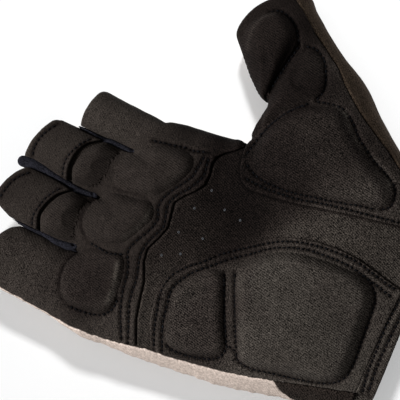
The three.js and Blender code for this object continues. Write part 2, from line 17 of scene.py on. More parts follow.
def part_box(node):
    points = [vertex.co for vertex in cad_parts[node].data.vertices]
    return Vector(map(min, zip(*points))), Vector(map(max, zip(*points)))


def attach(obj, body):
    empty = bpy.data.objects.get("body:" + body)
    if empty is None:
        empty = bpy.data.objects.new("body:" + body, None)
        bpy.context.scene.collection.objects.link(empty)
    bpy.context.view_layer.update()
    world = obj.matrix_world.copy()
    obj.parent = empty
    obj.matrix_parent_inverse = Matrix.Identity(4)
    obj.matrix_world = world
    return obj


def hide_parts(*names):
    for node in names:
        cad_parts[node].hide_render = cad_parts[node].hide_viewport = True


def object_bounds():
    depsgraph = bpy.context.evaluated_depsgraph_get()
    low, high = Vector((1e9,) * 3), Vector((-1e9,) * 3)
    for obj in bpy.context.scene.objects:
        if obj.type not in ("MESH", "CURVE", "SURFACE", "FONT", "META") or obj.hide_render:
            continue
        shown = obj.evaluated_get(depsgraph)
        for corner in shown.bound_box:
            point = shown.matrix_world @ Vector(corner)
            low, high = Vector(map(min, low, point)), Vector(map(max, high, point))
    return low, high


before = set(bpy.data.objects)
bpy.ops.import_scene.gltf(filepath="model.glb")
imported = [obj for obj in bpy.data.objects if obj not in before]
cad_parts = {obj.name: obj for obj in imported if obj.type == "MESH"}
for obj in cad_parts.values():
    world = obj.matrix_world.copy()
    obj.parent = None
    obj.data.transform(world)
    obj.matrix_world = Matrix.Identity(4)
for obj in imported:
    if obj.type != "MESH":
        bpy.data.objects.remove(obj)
cad_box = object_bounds()

MM = 0.001
STEP = 0.6

# Sizes of the glove
PALM_WIDTH = 92.0
PALM_LENGTH = 130.0
SIDE_HEIGHT = 11.0
PALM_DEPTH = 14.0
BACK_DEPTH = 12.5
FINGER_DEPTH = 9.6
THUMB_DEPTH = 14.0
THUMB_LENGTH = 100.0
THUMB_WIDTH = 35.0
THUMB_HEADING = math.radians(40.0)
FULLNESS = 2.3
SKIN = 1.2
GAP = 0.3
SEAM_GAP = 0.06
PANEL = (1.5, 2.7)
LOOP = (1.5, 2.9)
PAD_FLOOR = 2.2
PAD_LAP = 0.3
HEM_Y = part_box("cuff_hem")[0][1] / MM
HEM_WIDTH = 5.6
CROTCH_Y = HEM_Y + 0.985 * PALM_LENGTH

PALM_SECTIONS = dict(
    along=[-0.08, 0, 0.108, 0.208, 0.338, 0.46, 0.585, 0.646, 0.7, 0.762, 0.838, 0.915, 0.985],
    ulnar=[
        -0.345, -0.345, -0.364, -0.386, -0.429, -0.463, -0.486, -0.502, -0.514, -0.518, -0.516, -0.512,
        -0.508],
    radial=[0.56, 0.56, 0.61, 0.68, 0.69, 0.7, 0.66, 0.6, 0.51, 0.492, 0.476, 0.45, 0.446],
    height=[0.62, 0.66, 0.78, 0.92, 1, 0.97, 0.93, 0.93, 0.95, 0.97, 0.96, 0.86, 0.62],
)
PALM_MOUNDS = [
    dict(across=-0.22, along=0.26, wide=0.36, long=0.26, rise=0.2),
    dict(across=0.57, along=0.42, wide=0.3, long=0.3, rise=0.26),
    dict(across=0.17, along=0.54, wide=0.24, long=0.2, rise=-0.3),
    dict(across=0.24, along=0.12, wide=0.16, long=0.2, rise=-0.14),
]
FINGERS = [
    dict(name="index", centre=0.374, width=16.4, length=24.8, rim=[
        (26, 86.9), (29.1, 86.6), (33.5, 86.3), (38.8, 85.6), (42.6, 85.2), (44, 85), (46, 84)]),
    dict(name="middle", centre=0.163, width=22.4, length=38.5, rim=[
        (3, 101.6), (7.1, 102.1), (13.4, 101.2), (19.5, 99.4), (24.2, 97.6),
        (26.4, 94.5)]),
    dict(name="ring", centre=-0.082, width=22.4, length=43.0, rim=[
        (-20, 94.2), (-17, 100.6), (-15, 104.7), (-13, 105.6), (-9, 105.1), (-5, 103.9), (-0.8, 102.1),
        (2, 100.3), (4, 99.2)]),
    dict(name="little", centre=-0.366, width=27.2, length=34.0, rim=[
        (-48, 88), (-44.8, 91.1), (-41, 94.2), (-35, 96.8), (-30, 97.8), (-25.5, 97.2), (-21.8, 95.2),
        (-20, 92.8), (-18, 90)]),
]
FINGER_SECTIONS = dict(share=[0, 0.35, 0.7, 1], height=[0.86, 0.98, 1, 0.96])
THUMB_SECTIONS = dict(
    share=[0, 0.15, 0.3, 0.45, 0.6, 0.75, 0.88, 1],
    inner=[0.26, 0.4, 0.5, 0.52, 0.5, 0.51, 0.505, 0.475],
    outer=[0.46, 0.57, 0.6, 0.6, 0.595, 0.5, 0.48, 0.475],
    height=[0.6, 0.86, 1.04, 1.1, 1.06, 0.98, 0.92, 0.84],
)
THUMB_FOLD = dict(share=0.8, long=0.09, depth=0.2)
THUMB_RIM_BULGE = 4.9
THUMB_RIM_FALL = -1.0
THUMB_ROOT = (0.36 * PALM_WIDTH, HEM_Y + 0.165 * PALM_LENGTH)


def column(rows, key, name, share):
    """A smooth value from a table at each share, as the part's own sections have it."""
    stops = np.asarray(rows[key], float)
    values = np.asarray(rows[name], float)
    share = np.clip(share, stops[0], stops[-1])
    i = np.clip(np.searchsorted(stops, share, side="right") - 1, 0, len(stops) - 2)
    before = np.maximum(i - 1, 0)
    after = np.minimum(i + 2, len(stops) - 1)
    span = stops[i + 1] - stops[i]
    start_slope = (values[i + 1] - values[before]) / (stops[i + 1] - stops[before]) * span
    end_slope = (values[after] - values[i]) / (stops[after] - stops[i]) * span
    t = (share - stops[i]) / span
    return (
        values[i] * (2 * t**3 - 3 * t**2 + 1)
        + start_slope * (t**3 - 2 * t**2 + t)
        + values[i + 1] * (3 * t**2 - 2 * t**3)
        + end_slope * (t**3 - t**2)
    )


# The grid that every field is worked out on
GRID_MARGIN = 4.0
low = [v / MM - GRID_MARGIN for v in cad_box[0]]
high = [v / MM + GRID_MARGIN for v in cad_box[1]]
xs = np.arange(low[0], high[0], STEP)
ys = np.arange(low[1], high[1], STEP)
zs = np.arange(-2 * STEP, high[2], STEP)
X, Y = np.meshgrid(xs, ys, indexing="ij")


def smooth_min(a, b, reach):
    """The lower of two fields, rounded where they meet."""
    h = np.maximum(reach - np.abs(a - b), 0) / reach
    return np.minimum(a, b) - h * h * reach * 0.25


def smooth_max(a, b, reach):
    return -smooth_min(-a, -b, reach)


def palm_relief(x, y):
    """How far the balls of the hand stand above its plain section, and its hollow below."""
    rise = np.zeros_like(x)
    for mound in PALM_MOUNDS:
        dx = (x - mound["across"] * PALM_WIDTH) / (mound["wide"] * PALM_WIDTH)
        dy = (y - HEM_Y - mound["along"] * PALM_LENGTH) / (mound["long"] * PALM_LENGTH)
        rise += mound["rise"] * np.maximum(0, 1 - dx * dx - dy * dy) ** 2
    return PALM_DEPTH * rise


# How far the forms of the hand are rounded into each other
END_BLEND = 12.0
FINGER_BLEND = 6.0
THUMB_BLEND = 12.0
SIDE_BLEND = 3.0
FLOOR_BLEND = 2.0


def limb_field(origin, heading, length, inner, outer, height, start, end):
    """How far each grid point is from one limb of the hand, about in millimetres."""
    ax, ay = math.sin(heading), math.cos(heading)
    along = (X - origin[0]) * ax + (Y - origin[1]) * ay
    side = (X - origin[0]) * ay - (Y - origin[1]) * ax
    share = along / length
    left, right, top = inner(share), outer(share), height(share)
    centre, half = (right - left) / 2, (right + left) / 2
    u = (np.abs(side - centre) / half) ** FULLNESS
    scale = np.minimum(half, top)
    ends = np.maximum(start * length - along, along - end * length)
    field = np.empty(X.shape + zs.shape, np.float32)
    for k, z in enumerate(zs):
        rise = (z - SIDE_HEIGHT) / (top if z > SIDE_HEIGHT else -BACK_DEPTH)
        shape = ((u + rise**FULLNESS) ** (1 / FULLNESS) - 1) * scale
        field[:, :, k] = smooth_max(shape, ends, END_BLEND)
    return field


def palm_field():
    relief = palm_relief(X, Y)
    return limb_field(
        (0, HEM_Y), 0, PALM_LENGTH,
        lambda s: -PALM_WIDTH * column(PALM_SECTIONS, "along", "ulnar", s) - SKIN,
        lambda s: PALM_WIDTH * column(PALM_SECTIONS, "along", "radial", s) - SKIN,
        lambda s: PALM_DEPTH * column(PALM_SECTIONS, "along", "height", s) + relief,
        -0.3, 0.985,
    )


def thumb_height(share):
    fold = THUMB_FOLD["depth"] * np.exp(-(((share - THUMB_FOLD["share"]) / THUMB_FOLD["long"]) ** 2))
    return THUMB_DEPTH * (column(THUMB_SECTIONS, "share", "height", share) - fold)


def thumb_field():
    return limb_field(
        THUMB_ROOT, THUMB_HEADING, THUMB_LENGTH,
        lambda s: THUMB_WIDTH * column(THUMB_SECTIONS, "share", "inner", s) - SKIN,
        lambda s: THUMB_WIDTH * column(THUMB_SECTIONS, "share", "outer", s) - SKIN,
        thumb_height, 0, 1.4,
    )


FINGER_ROOT_Y = HEM_Y + 0.84 * PALM_LENGTH
FINGER_SLIT = 0.8


def finger_field(finger):
    length = CROTCH_Y + finger["length"] - FINGER_ROOT_Y
    half = (finger["width"] - FINGER_SLIT) / 2 - SKIN

    def flat(share):
        return np.full_like(share, half)

    return limb_field(
        (finger["centre"] * PALM_WIDTH, FINGER_ROOT_Y), 0, length, flat, flat,
        lambda s: FINGER_DEPTH * column(FINGER_SECTIONS, "share", "height", s), 0, 1.6,
    )


# The glove's sides seen from above. The line runs on past the rims, where the glove is open.
SIDES = [
    (45.2, 130), (44.5, 87), (43.2, 79), (42.4, 69), (41.5, 60), (41, 55), (42.4, 53.2), (44.2, 47.7),
    (45.2, 42.8), (46.1, 34.5), (47.5, 26.4), (47, 23), (49.9, 20.2), (52, 21.2), (56, 21.3), (59.7, 20.3),
    (64.2, 18.9), (66.3, 21.5), (68.2, 26.1), (72.8, 32.2), (78, 37.4), (84, 43.2), (90.5, 49), (110, 80),
    (140, 50), (113.1, 25.5), (110.1, 23.5), (107.1, 21.5), (101.7, 13.8), (93.8, 1.5), (89.7, -6.8),
    (86, -12.2), (78.3, -20.4), (72.3, -27.7), (67.1, -34.4), (60.2, -45), (55.3, -55), (53, -66),
    (53, -100), (-32, -100), (-32.5, -66), (-35, -37), (-37, -29.6), (-43.9, -9.8), (-46.8, 11.3),
    (-48.5, 33.5), (-48.8, 48), (-47.5, 54), (-46.9, 71.7), (-45.8, 91.1), (-45.6, 130),
]


def hand_distance():
    """Signed distance from the hollow inside the glove, with the back flattened on the surface."""
    digits = finger_field(FINGERS[0])
    for finger in FINGERS[1:]:
        digits = np.minimum(digits, finger_field(finger))
    field = smooth_min(palm_field(), digits, FINGER_BLEND)
    field = smooth_min(field, thumb_field(), THUMB_BLEND)
    gx, gy, gz = np.gradient(field, STEP)
    steep = np.sqrt(gx * gx + gy * gy + gz * gz)
    field /= np.clip(steep, 0.35, 3.0)
    thumb_side = (X - THUMB_ROOT[0]) * math.cos(THUMB_HEADING)
    thumb_side = thumb_side - (Y - THUMB_ROOT[1]) * math.sin(THUMB_HEADING)
    covered = np.where(X < 0, 0, (4 - thumb_side) / 6)
    inset = SKIN - 0.6 + 1.6 * np.clip(covered, 0, 1)
    field = smooth_max(field, (region(SIDES) + inset)[:, :, None].astype(np.float32), SIDE_BLEND)
    return smooth_max(field, (SKIN - zs)[None, None, :].astype(np.float32), FLOOR_BLEND)


def polyline_field(points, closed=False):
    """Distance from each grid point to a line of places, and how far along the line its foot is."""
    points = np.asarray(points, float)
    if closed:
        points = np.vstack([points, points[:1]])
    best = np.full(X.shape, 1e6)
    run = np.zeros(X.shape)
    walked = 0.0
    for a, b in zip(points[:-1], points[1:]):
        d = b - a
        size = math.hypot(*d)
        if size < 1e-6:
            continue
        t = np.clip(((X - a[0]) * d[0] + (Y - a[1]) * d[1]) / size**2, 0, 1)
        away = np.hypot(X - a[0] - t * d[0], Y - a[1] - t * d[1])
        near = away < best
        best = np.where(near, away, best)
        run = np.where(near, walked + t * size, run)
        walked += size
    return best, run


def inside_polygon(points):
    points = np.asarray(points, float)
    inside = np.zeros(X.shape, bool)
    for (ax, ay), (bx, by) in zip(points, np.roll(points, -1, axis=0)):
        if ay == by:
            continue
        crosses = (ay > Y) != (by > Y)
        inside ^= crosses & (X < (bx - ax) * (Y - ay) / (by - ay) + ax)
    return inside


def region(points):
    """Signed distance to a plan outline, below zero inside."""
    away, _ = polyline_field(points, closed=True)
    return np.where(inside_polygon(points), -away, away)


distance = hand_distance()


def curve(places, closed=False, per_span=8):
    """A smooth line through a few places."""
    p = np.asarray(places, float)
    count = len(p)
    spans = count if closed else count - 1
    out = []
    for i in range(spans):
        if closed:
            p0, p1, p2, p3 = p[(i - 1) % count], p[i], p[(i + 1) % count], p[(i + 2) % count]
        else:
            p1, p2 = p[i], p[i + 1]
            p0 = p[i - 1] if i else 2 * p1 - p2
            p3 = p[i + 2] if i + 2 < count else 2 * p2 - p1
        for t in np.arange(per_span) / per_span:
            out.append(
                0.5 * (2 * p1 + (p2 - p0) * t + (2 * p0 - 5 * p1 + 4 * p2 - p3) * t**2
                       + (3 * p1 - p0 - 3 * p2 + p3) * t**3)
            )
    if not closed:
        out.append(p[-1])
    return np.array(out)


# Outlines seen from above
PALM_OUTLINE = [
    (-44.6, 120), (-45.1, 91.2), (-45.6, 81.1), (-45.9, 71.2), (-46.5, 61), (-46.4, 51.1), (-45.5, 41.9),
    (-43.1, 29.8), (-41.5, 23.8), (-40.6, 15.7), (-39.1, 6.8), (-37.4, -2), (-35.6, -10.4), (-33.3, -18.6),
    (-30.4, -28.3), (-25.5, -44.5), (-19.5, -64), (-18, -90), (40, -90), (47, -64), (54, -51), (63, -37.2),
    (67, -30.8), (71.9, -21.8), (76.3, -14.4), (82.6, -6), (88.3, 0.2), (93.3, 8.2), (98.4, 16.4),
    (103, 22.4), (107, 28.5), (118, 44), (140, 70), (140, 120),
]
KNUCKLE_EDGE = [
    (56, 18), (46.4, 21), (43.5, 23.8), (41, 27.2), (38, 29.6), (34.8, 29.9), (30.6, 28.6), (26, 28.4),
    (22.8, 30.3), (19.1, 33.5), (15, 36.3), (10.8, 35.4), (5, 34.2), (0, 35.7), (-5.9, 38.1),
    (-11, 37.2), (-17.8, 33.9), (-24.2, 32.7), (-32.1, 31.1), (-40.1, 28.2), (-60, 21),
]
KNUCKLE_OUTLINE = KNUCKLE_EDGE + [
    (-60, 120), (-19.5, 120), (-18.8, 86), (-11.6, 84.6), (-6.7, 83.3), (-1.7, 81), (1.1, 78.5), (4, 79.5),
    (10.2, 81), (15.3, 80.3), (20.8, 78.3), (24.4, 75), (26, 78), (26.2, 120), (56, 120),
]
HEEL_EDGE = [
    (-60, 14), (-40.8, 21.3), (-30.5, 25.8), (-20.6, 27.5), (-11.4, 26.2), (-3.8, 21), (3.2, 13.3),
    (10.4, 5.8), (15.5, -0.5), (19.8, -7.1), (22.7, -14.3), (24.5, -22), (25.3, -30.1), (25, -38.7),
    (23.1, -48), (21.3, -57), (20, -64),
]
HEEL_OUTLINE = HEEL_EDGE + [(19, -90), (-60, -90)]
THUMB_EDGE = [
    (50.5, 22.5), (44, 20.6), (38, 18.8), (33.5, 16.2), (31.5, 12), (32.2, 6), (33, -1.2), (34.4, -9.1),
    (36.3, -16.8), (38, -24.5), (39.8, -32.1), (41.3, -39.8), (43, -47.3), (44.6, -56), (46, -64),
]
THUMB_OUTLINE = THUMB_EDGE + [(48, -90), (130, -90), (130, 120), (84, 70), (60, 30)]
BROWN_OUTLINE = [(44, -90), (150, -90), (150, 70), (57, 24), (44, -10)]
WRIST_OUTLINE = [
    (-70, -90), (44, -90), (44, -24), (0, -21), (-30.5, -28.2), (-33, -31.5), (-34.3, -37), (-70, -60)]

PADS = {
    "heel_pad_large": dict(rise=4.2, shoulder=4.8, soft=0, soft_way=(0, 1), edge=[
        (-25.8, -11), (-12.2, -4.1), (-2, 0.8), (3.5, 1.5), (9, -1.7), (14.6, -9.9), (17.3, -17.3),
        (18.8, -25.1), (19.5, -33.2), (19.4, -41), (17.4, -46.2), (12, -49.8), (-1.7, -51.5), (-13, -52.4),
        (-18.5, -50.8), (-22, -46), (-24.6, -38), (-27.5, -26), (-29.3, -17.5), (-28.6, -13)]),
    "heel_pad_small": dict(rise=2.4, shoulder=4.2, soft=0.1, soft_way=(0, 1), edge=[
        (-34.7, 16.4), (-29.1, 18.4), (-23.5, 20.1), (-18.8, 21), (-14, 20.2), (-9.8, 18), (-5, 14.3),
        (-2.2, 10.8), (-1.8, 7.6), (-3.6, 5.2), (-9, 3), (-21.4, -2.6), (-26.5, -5.4), (-30, -5.4),
        (-32.9, -2), (-35.4, 5.5), (-36.3, 12.5)]),
    "knuckle_pad_index": dict(rise=3.3, shoulder=5.5, soft=0.9, soft_way=(-0.2, 1), edge=[
        (29.4, 56.8), (32.5, 51.6), (34.5, 45.7), (34.9, 41.4), (33.5, 37.4), (29.8, 35.9), (24.8, 37.1),
        (18.9, 40.6), (14.6, 43.6), (13.2, 46.2), (12.2, 51), (11.2, 56), (11, 60.2), (12.8, 63.6),
        (16.9, 65.2), (21.5, 64.3), (25.5, 61)]),
    "knuckle_pad_ring": dict(rise=3.3, shoulder=5.5, soft=0.55, soft_way=(-0.2, 1), edge=[
        (3.7, 67.1), (7.4, 62.2), (9, 56.4), (9.9, 50.4), (10.9, 45.6), (9.6, 42.6), (6, 41.1), (2.2, 42.5),
        (-4, 45.6), (-7.8, 48), (-10.4, 52.5), (-11.6, 58.2), (-11.6, 63), (-9.4, 66.4), (-4.5, 68.3),
        (0.3, 68.3)]),
    "knuckle_pad_little": dict(rise=1.9, shoulder=3.2, soft=0.05, soft_way=(-0.3, 1), edge=[
        (-21.7, 66.3), (-17.4, 62.5), (-14.4, 56.5), (-12.6, 49.1), (-13.2, 45.1), (-17, 43), (-24.2, 41.9),
        (-30.4, 41.6), (-34.6, 43.2), (-36.9, 47.3), (-38.5, 54.5), (-38, 60), (-34.9, 63.8), (-29, 66.5)]),
    "finger_pad_middle": dict(rise=2.8, shoulder=4, soft=0.9, soft_way=(0, -1), edge=[
        (5.9, 78.9), (9.3, 80.2), (14, 80), (19, 78.2), (23, 75.4), (24.5, 71.5), (23.8, 66.6), (17.8, 67.2),
        (11, 66.8), (7.2, 69.2), (5.9, 73.5)]),
    "finger_pad_ring": dict(rise=2.8, shoulder=4, soft=0.9, soft_way=(0, -1), edge=[
        (-17.2, 82.2), (-12.8, 83.4), (-8, 82.6), (-3, 80.6), (0.6, 77.6), (1.4, 73.4), (0.6, 70.2),
        (-5, 70), (-11.2, 68.6), (-14.6, 68), (-16.8, 71), (-17.6, 77)]),
    "thenar_pad": dict(rise=3.6, shoulder=5.5, soft=0.3, soft_way=(-1, 0.3), edge=[
        (47, 16.4), (53.4, 15.4), (60.8, 11.4), (66, 7.4), (70.6, 1.5), (73, -5.4), (72.9, -9.8),
        (69.6, -14.4), (65.6, -19), (60.5, -27.2), (57.1, -34.9), (53.4, -39.3), (48.4, -40), (45.2, -35.8),
        (43, -28), (40.5, -15.3), (38.4, -5), (37.7, 3.5), (38.6, 10), (41.6, 14.6)]),
    "thumb_pad_mid": dict(rise=3.2, shoulder=6, soft=0.5, soft_way=(1, -0.6), edge=[
        (84.5, 17.6), (89.3, 15.2), (90.4, 11.6), (88.6, 8), (85, 4.6), (81, 1.9), (77, 1.1), (73, 3),
        (69.2, 7.4), (64, 12.4), (58.4, 16), (55.4, 18.2), (60, 19.3), (66, 19.4), (72, 19.1), (79, 18.5)]),
    "thumb_pad_tip": dict(rise=3.8, shoulder=4.2, soft=0.95, soft_way=(-1, 0.9), edge=[
        (84.6, 40.6), (91, 39.2), (95.8, 35.6), (98.4, 31.8), (98.6, 28), (96.8, 24), (93.4, 21),
        (88, 20.6), (80, 21.2), (72, 21.6), (66, 21.9), (66.4, 24.6), (71.4, 31.4), (77, 37)]),
}

palm_region = region(PALM_OUTLINE)


def noise(scale, seed):
    """A soft seeded unevenness of the cloth, about -1 to 1, with lumps of one size."""
    rng = np.random.default_rng(seed)
    nx = int((xs[-1] - xs[0]) / scale) + 4
    ny = int((ys[-1] - ys[0]) / scale) + 4
    values = rng.uniform(-1, 1, (nx, ny))
    u, v = (X - xs[0]) / scale, (Y - ys[0]) / scale
    i, j = u.astype(int), v.astype(int)
    fu, fv = u - i, v - j
    fu, fv = fu * fu * (3 - 2 * fu), fv * fv * (3 - 2 * fv)
    lower = values[i, j] * (1 - fu) + values[i + 1, j] * fu
    upper = values[i, j + 1] * (1 - fu) + values[i + 1, j + 1] * fu
    return lower * (1 - fv) + upper * fv


# The soft edges of the webs between the fingers: middle line and half width, from rim to palm
WEB_ROWS = [
    [(26.1, 87.2, 0.5), (26.1, 83, 0.6), (25.6, 77, 0.7), (25.7, 75, 1), (26, 72, 1.35), (26, 68, 1.3),
     (26, 64, 1.2), (26.5, 61.6, 0.8)],
    [(4.1, 102.9, 2.3), (4.9, 98, 2.1), (4.75, 93, 1.75), (4.1, 88, 1.4), (3.75, 84, 1.3), (3.3, 80, 1.35),
     (2.8, 76, 1.45), (3.3, 72, 1.4), (4.2, 69, 1)],
    [(-19.1, 93.6, 0.45), (-18.75, 88, 0.45), (-18.6, 84.5, 0.5), (-18.9, 80, 1), (-19.3, 75.5, 1.4),
     (-19, 71, 1.7), (-18.2, 68.5, 1.5), (-17.6, 67.2, 1)],
]


def web_field(row):
    """Signed distance in plan from the soft edge of a web."""
    best = np.full(X.shape, 1e6)
    for (ax, ay, ar), (bx, by, br) in zip(row[:-1], row[1:]):
        dx, dy = bx - ax, by - ay
        t = np.clip(((X - ax) * dx + (Y - ay) * dy) / (dx * dx + dy * dy), 0, 1)
        best = np.minimum(best, np.hypot(X - ax - t * dx, Y - ay - t * dy) - ar - t * (br - ar))
    return best


web_fields = [web_field(row) for row in WEB_ROWS]
webs_taken = np.minimum.reduce(web_fields)

# How far the hem's rim hangs out past the hem's own line, more on the little finger's side
hem_lip = 0.3 + 0.05 * np.clip(8 - X, 0, 30)


def beyond_rims():
    """How far each place lies past the rims of the digits and the wrist, below zero inside."""
    out = HEM_Y - hem_lip - Y
    edges = [1e6] + [row[len(row) // 2][0] for row in WEB_ROWS] + [-1e6]
    for finger, right, left in zip(FINGERS, edges[:-1], edges[1:]):
        places = np.array(finger["rim"], float)
        end = np.interp(X, places[:, 0], places[:, 1])
        out = np.where((X <= right) & (X > left) & (Y > 56), np.maximum(out, (Y - end) * 0.9), out)
    ax, ay = math.sin(THUMB_HEADING), math.cos(THUMB_HEADING)
    along = (X - THUMB_ROOT[0]) * ax + (Y - THUMB_ROOT[1]) * ay
    side = ((X - THUMB_ROOT[0]) * ay - (Y - THUMB_ROOT[1]) * ax) / (0.475 * THUMB_WIDTH)
    bow = THUMB_RIM_BULGE * (1 - np.clip(side, -1, 1) ** 2) - THUMB_RIM_FALL * np.clip(side, 0, 1) ** 2
    return np.where(X > 55, np.maximum(out, along - THUMB_LENGTH - bow), out)


rims = beyond_rims()

CORNERS = np.array([(i & 1, (i >> 1) & 1, i >> 2) for i in range(8)])
CELL_EDGES = [(a, b) for a in range(8) for b in range(a + 1, 8) if bin(a ^ b).count("1") == 1]


def sample(field, places):
    """The field at places given in cells, between the grid's own values."""
    top = np.array(field.shape) - 2
    base = np.clip(places.astype(int), 0, top)
    part = np.clip(places - base, 0, 1)
    total = np.zeros(len(places))
    for corner in CORNERS:
        weight = np.prod(np.where(corner, part, 1 - part), axis=1)
        at = base + corner
        total += weight * field[at[:, 0], at[:, 1], at[:, 2]]
    return total


def surface_net(field):
    """Vertices, in cells, and four-sided faces of the surface where the field is zero."""
    inside = field < 0
    shape = np.array(field.shape)
    n = shape - 1
    count = np.zeros(n, np.uint8)
    for cx, cy, cz in CORNERS:
        count += inside[cx:cx + n[0], cy:cy + n[1], cz:cz + n[2]]
    ids = np.argwhere((count > 0) & (count < 8))
    cell = np.full(n, -1, np.int64)
    cell[tuple(ids.T)] = np.arange(len(ids))
    value = [field[ids[:, 0] + c[0], ids[:, 1] + c[1], ids[:, 2] + c[2]] for c in CORNERS]
    total = np.zeros((len(ids), 3))
    hits = np.zeros(len(ids))
    for a, b in CELL_EDGES:
        cross = (value[a] < 0) != (value[b] < 0)
        span = np.where(cross, value[a] - value[b], 1.0)
        t = np.where(cross, value[a] / span, 0)[:, None]
        total += cross[:, None] * (CORNERS[a] + t * (CORNERS[b] - CORNERS[a]))
        hits += cross
    vertices = ids + total / hits[:, None]
    faces = []
    for d in range(3):
        e, f = (d + 1) % 3, (d + 2) % 3
        first = np.take(inside, np.arange(shape[d] - 1), axis=d)
        second = np.take(inside, np.arange(1, shape[d]), axis=d)
        at = np.argwhere(first != second)
        keep = (at[:, e] > 0) & (at[:, f] > 0) & (at[:, e] < n[e]) & (at[:, f] < n[f])
        at = at[keep]
        step_e, step_f = np.eye(3, dtype=int)[e], np.eye(3, dtype=int)[f]
        around = [at, at - step_e, at - step_e - step_f, at - step_f]
        quad = np.stack([cell[tuple(p.T)] for p in around], 1)
        outward = first[tuple(at.T)]
        faces.append(np.where(outward[:, None], quad, quad[:, ::-1]))
    return vertices, np.vstack(faces)


def settled(vertices, field):
    """Moves each vertex on to the surface itself."""
    for _ in range(2):
        here = sample(field, vertices)
        slope = np.zeros_like(vertices)
        for axis in range(3):
            step = np.zeros(3)
            step[axis] = 0.5
            slope[:, axis] = sample(field, vertices + step) - sample(field, vertices - step)
        size = np.maximum((slope**2).sum(1), 0.05)
        move = -(here / size)[:, None] * slope
        vertices = vertices + np.clip(move, -0.4, 0.4)
    return vertices


def cloth_material(name, deep, pale, grain=0.6, weave=0.0, weave_pitch=0.8, weave_tilt=0.6, bump=0.35,
                   rough=0.92, spread=0.5, glint_flecks=0.0):
    """A cloth whose colour and relief come from a fibre grain, a weave and slow changes of tone.

    Two values that a mesh carries change it from place to place: tone says how light the cloth is,
    dye and painted light and shade together, and nap how strong the grain.
    """
    material = bpy.data.materials.new(name)
    material.use_nodes = True
    tree = material.node_tree
    shader = tree.nodes["Principled BSDF"]
    shader.inputs["Roughness"].default_value = rough
    shader.inputs["Specular IOR Level"].default_value = 0.06

    def add(kind, inputs=None, **settings):
        """A node with its settings, and with each input set to a value or linked to a socket."""
        node = tree.nodes.new(kind)
        for key, value in settings.items():
            setattr(node, key, value)
        for socket, value in (inputs or {}).items():
            if isinstance(value, bpy.types.NodeSocket):
                tree.links.new(value, node.inputs[socket])
            else:
                node.inputs[socket].default_value = value
        return node

    def calculated(operation, first, second):
        return add("ShaderNodeMath", {0: first, 1: second}, operation=operation).outputs[0]

    def swing(signal, strength):
        """A signal around a half, made to swing around zero."""
        return calculated("MULTIPLY", calculated("SUBTRACT", signal, 0.5), strength)

    def noise_node(size_mm, roughness):
        inputs = {"Vector": place, "Scale": 1 / (size_mm * MM), "Detail": 2, "Roughness": roughness}
        return add("ShaderNodeTexNoise", inputs).outputs[0]

    def tinted(first, second):
        inputs = {0: 1, 6: first, 7: second}
        return add("ShaderNodeMix", inputs, data_type="RGBA", blend_type="MULTIPLY").outputs[2]

    place = add("ShaderNodeTexCoord").outputs["Object"]
    fibre = noise_node(grain, 0.7)
    patches = noise_node(grain * 7, 0.6)
    broad = noise_node(30, 0.5)
    mix = calculated("ADD", swing(fibre, spread * 8), swing(patches, spread * 0.7))
    mix = calculated("ADD", mix, swing(broad, spread * 0.6))
    height = fibre
    if weave:
        turned = add("ShaderNodeMapping", {"Vector": place, "Rotation": (0, 0, weave_tilt)}).outputs[0]
        wave = add("ShaderNodeTexWave", {
            "Vector": turned, "Scale": math.pi / (10 * weave_pitch * MM), "Distortion": 1.5, "Detail": 1,
            "Detail Scale": 1.5}, bands_direction="X")
        lines = swing(wave.outputs[1], weave)
        height = calculated("ADD", height, lines)
        mix = calculated("ADD", mix, calculated("MULTIPLY", lines, spread))
    nap = add("ShaderNodeAttribute", attribute_name="nap").outputs[2]
    mix = calculated("ADD", calculated("MULTIPLY", mix, nap), 0.5)
    # Painted glints: the highest grains of the fibre are made lighter, as light catching the thread
    if glint_flecks:
        peaks = calculated("MAXIMUM", calculated("SUBTRACT", fibre, 0.52), 0)
        mix = calculated("ADD", mix, calculated("MULTIPLY", peaks, glint_flecks))
    colour = add(
        "ShaderNodeMix", {0: mix, 6: (*deep, 1), 7: (*pale, 1)}, data_type="RGBA", clamp_factor=False,
        clamp_result=True).outputs[2]
    # The tone a mesh carries colours the cloth: its dye, with painted light and shade
    tone = add("ShaderNodeAttribute", attribute_name="tone").outputs[2]
    dye_and_shade = add("ShaderNodeCombineColor", {
        0: tone, 1: calculated("POWER", tone, 1.1), 2: calculated("POWER", tone, 1.085)}).outputs[0]
    # Lighter on sharp ridges, partly rubbed wear and partly painted highlight, and darker in creases, painted
    # shade
    edge_wear_and_shade = add("ShaderNodeMapRange", {
        "Value": add("ShaderNodeNewGeometry").outputs["Pointiness"],
        "From Min": 0.44, "From Max": 0.56, "To Min": 0.55, "To Max": 1.4}).outputs[0]
    tree.links.new(tinted(tinted(colour, dye_and_shade), edge_wear_and_shade), shader.inputs["Base Color"])
    relief = add("ShaderNodeBump", {"Strength": bump, "Distance": 0.0004, "Height": height})
    tree.links.new(relief.outputs[0], shader.inputs["Normal"])
    return material


suede = cloth_material(
    "panel_suede", (0.009, 0.0073, 0.0061), (0.066, 0.0555, 0.0475), grain=0.4, weave=0.35, weave_pitch=0.9,
    spread=0.76)
pad_suede = cloth_material(
    "pad_suede", (0.009, 0.0073, 0.0061), (0.068, 0.0575, 0.0495), grain=0.36, weave=0.75, weave_pitch=0.85,
    weave_tilt=0.17, spread=0.88)
palm_cloth = cloth_material(
    "palm_fabric", (0.009, 0.0071, 0.006), (0.062, 0.0525, 0.0445), grain=0.36, weave=0.75, weave_pitch=0.85,
    weave_tilt=0.35, spread=1.0)
cream = cloth_material(
    "back_knit", (0.33, 0.27, 0.235), (0.65, 0.545, 0.48), grain=0.9, weave=0.4, weave_pitch=0.9, bump=0.3,
    spread=0.3)
brown = cloth_material(
    "brown_fabric", (0.021, 0.0148, 0.0098), (0.092, 0.065, 0.0455), grain=0.5, weave=0.4, spread=0.45)
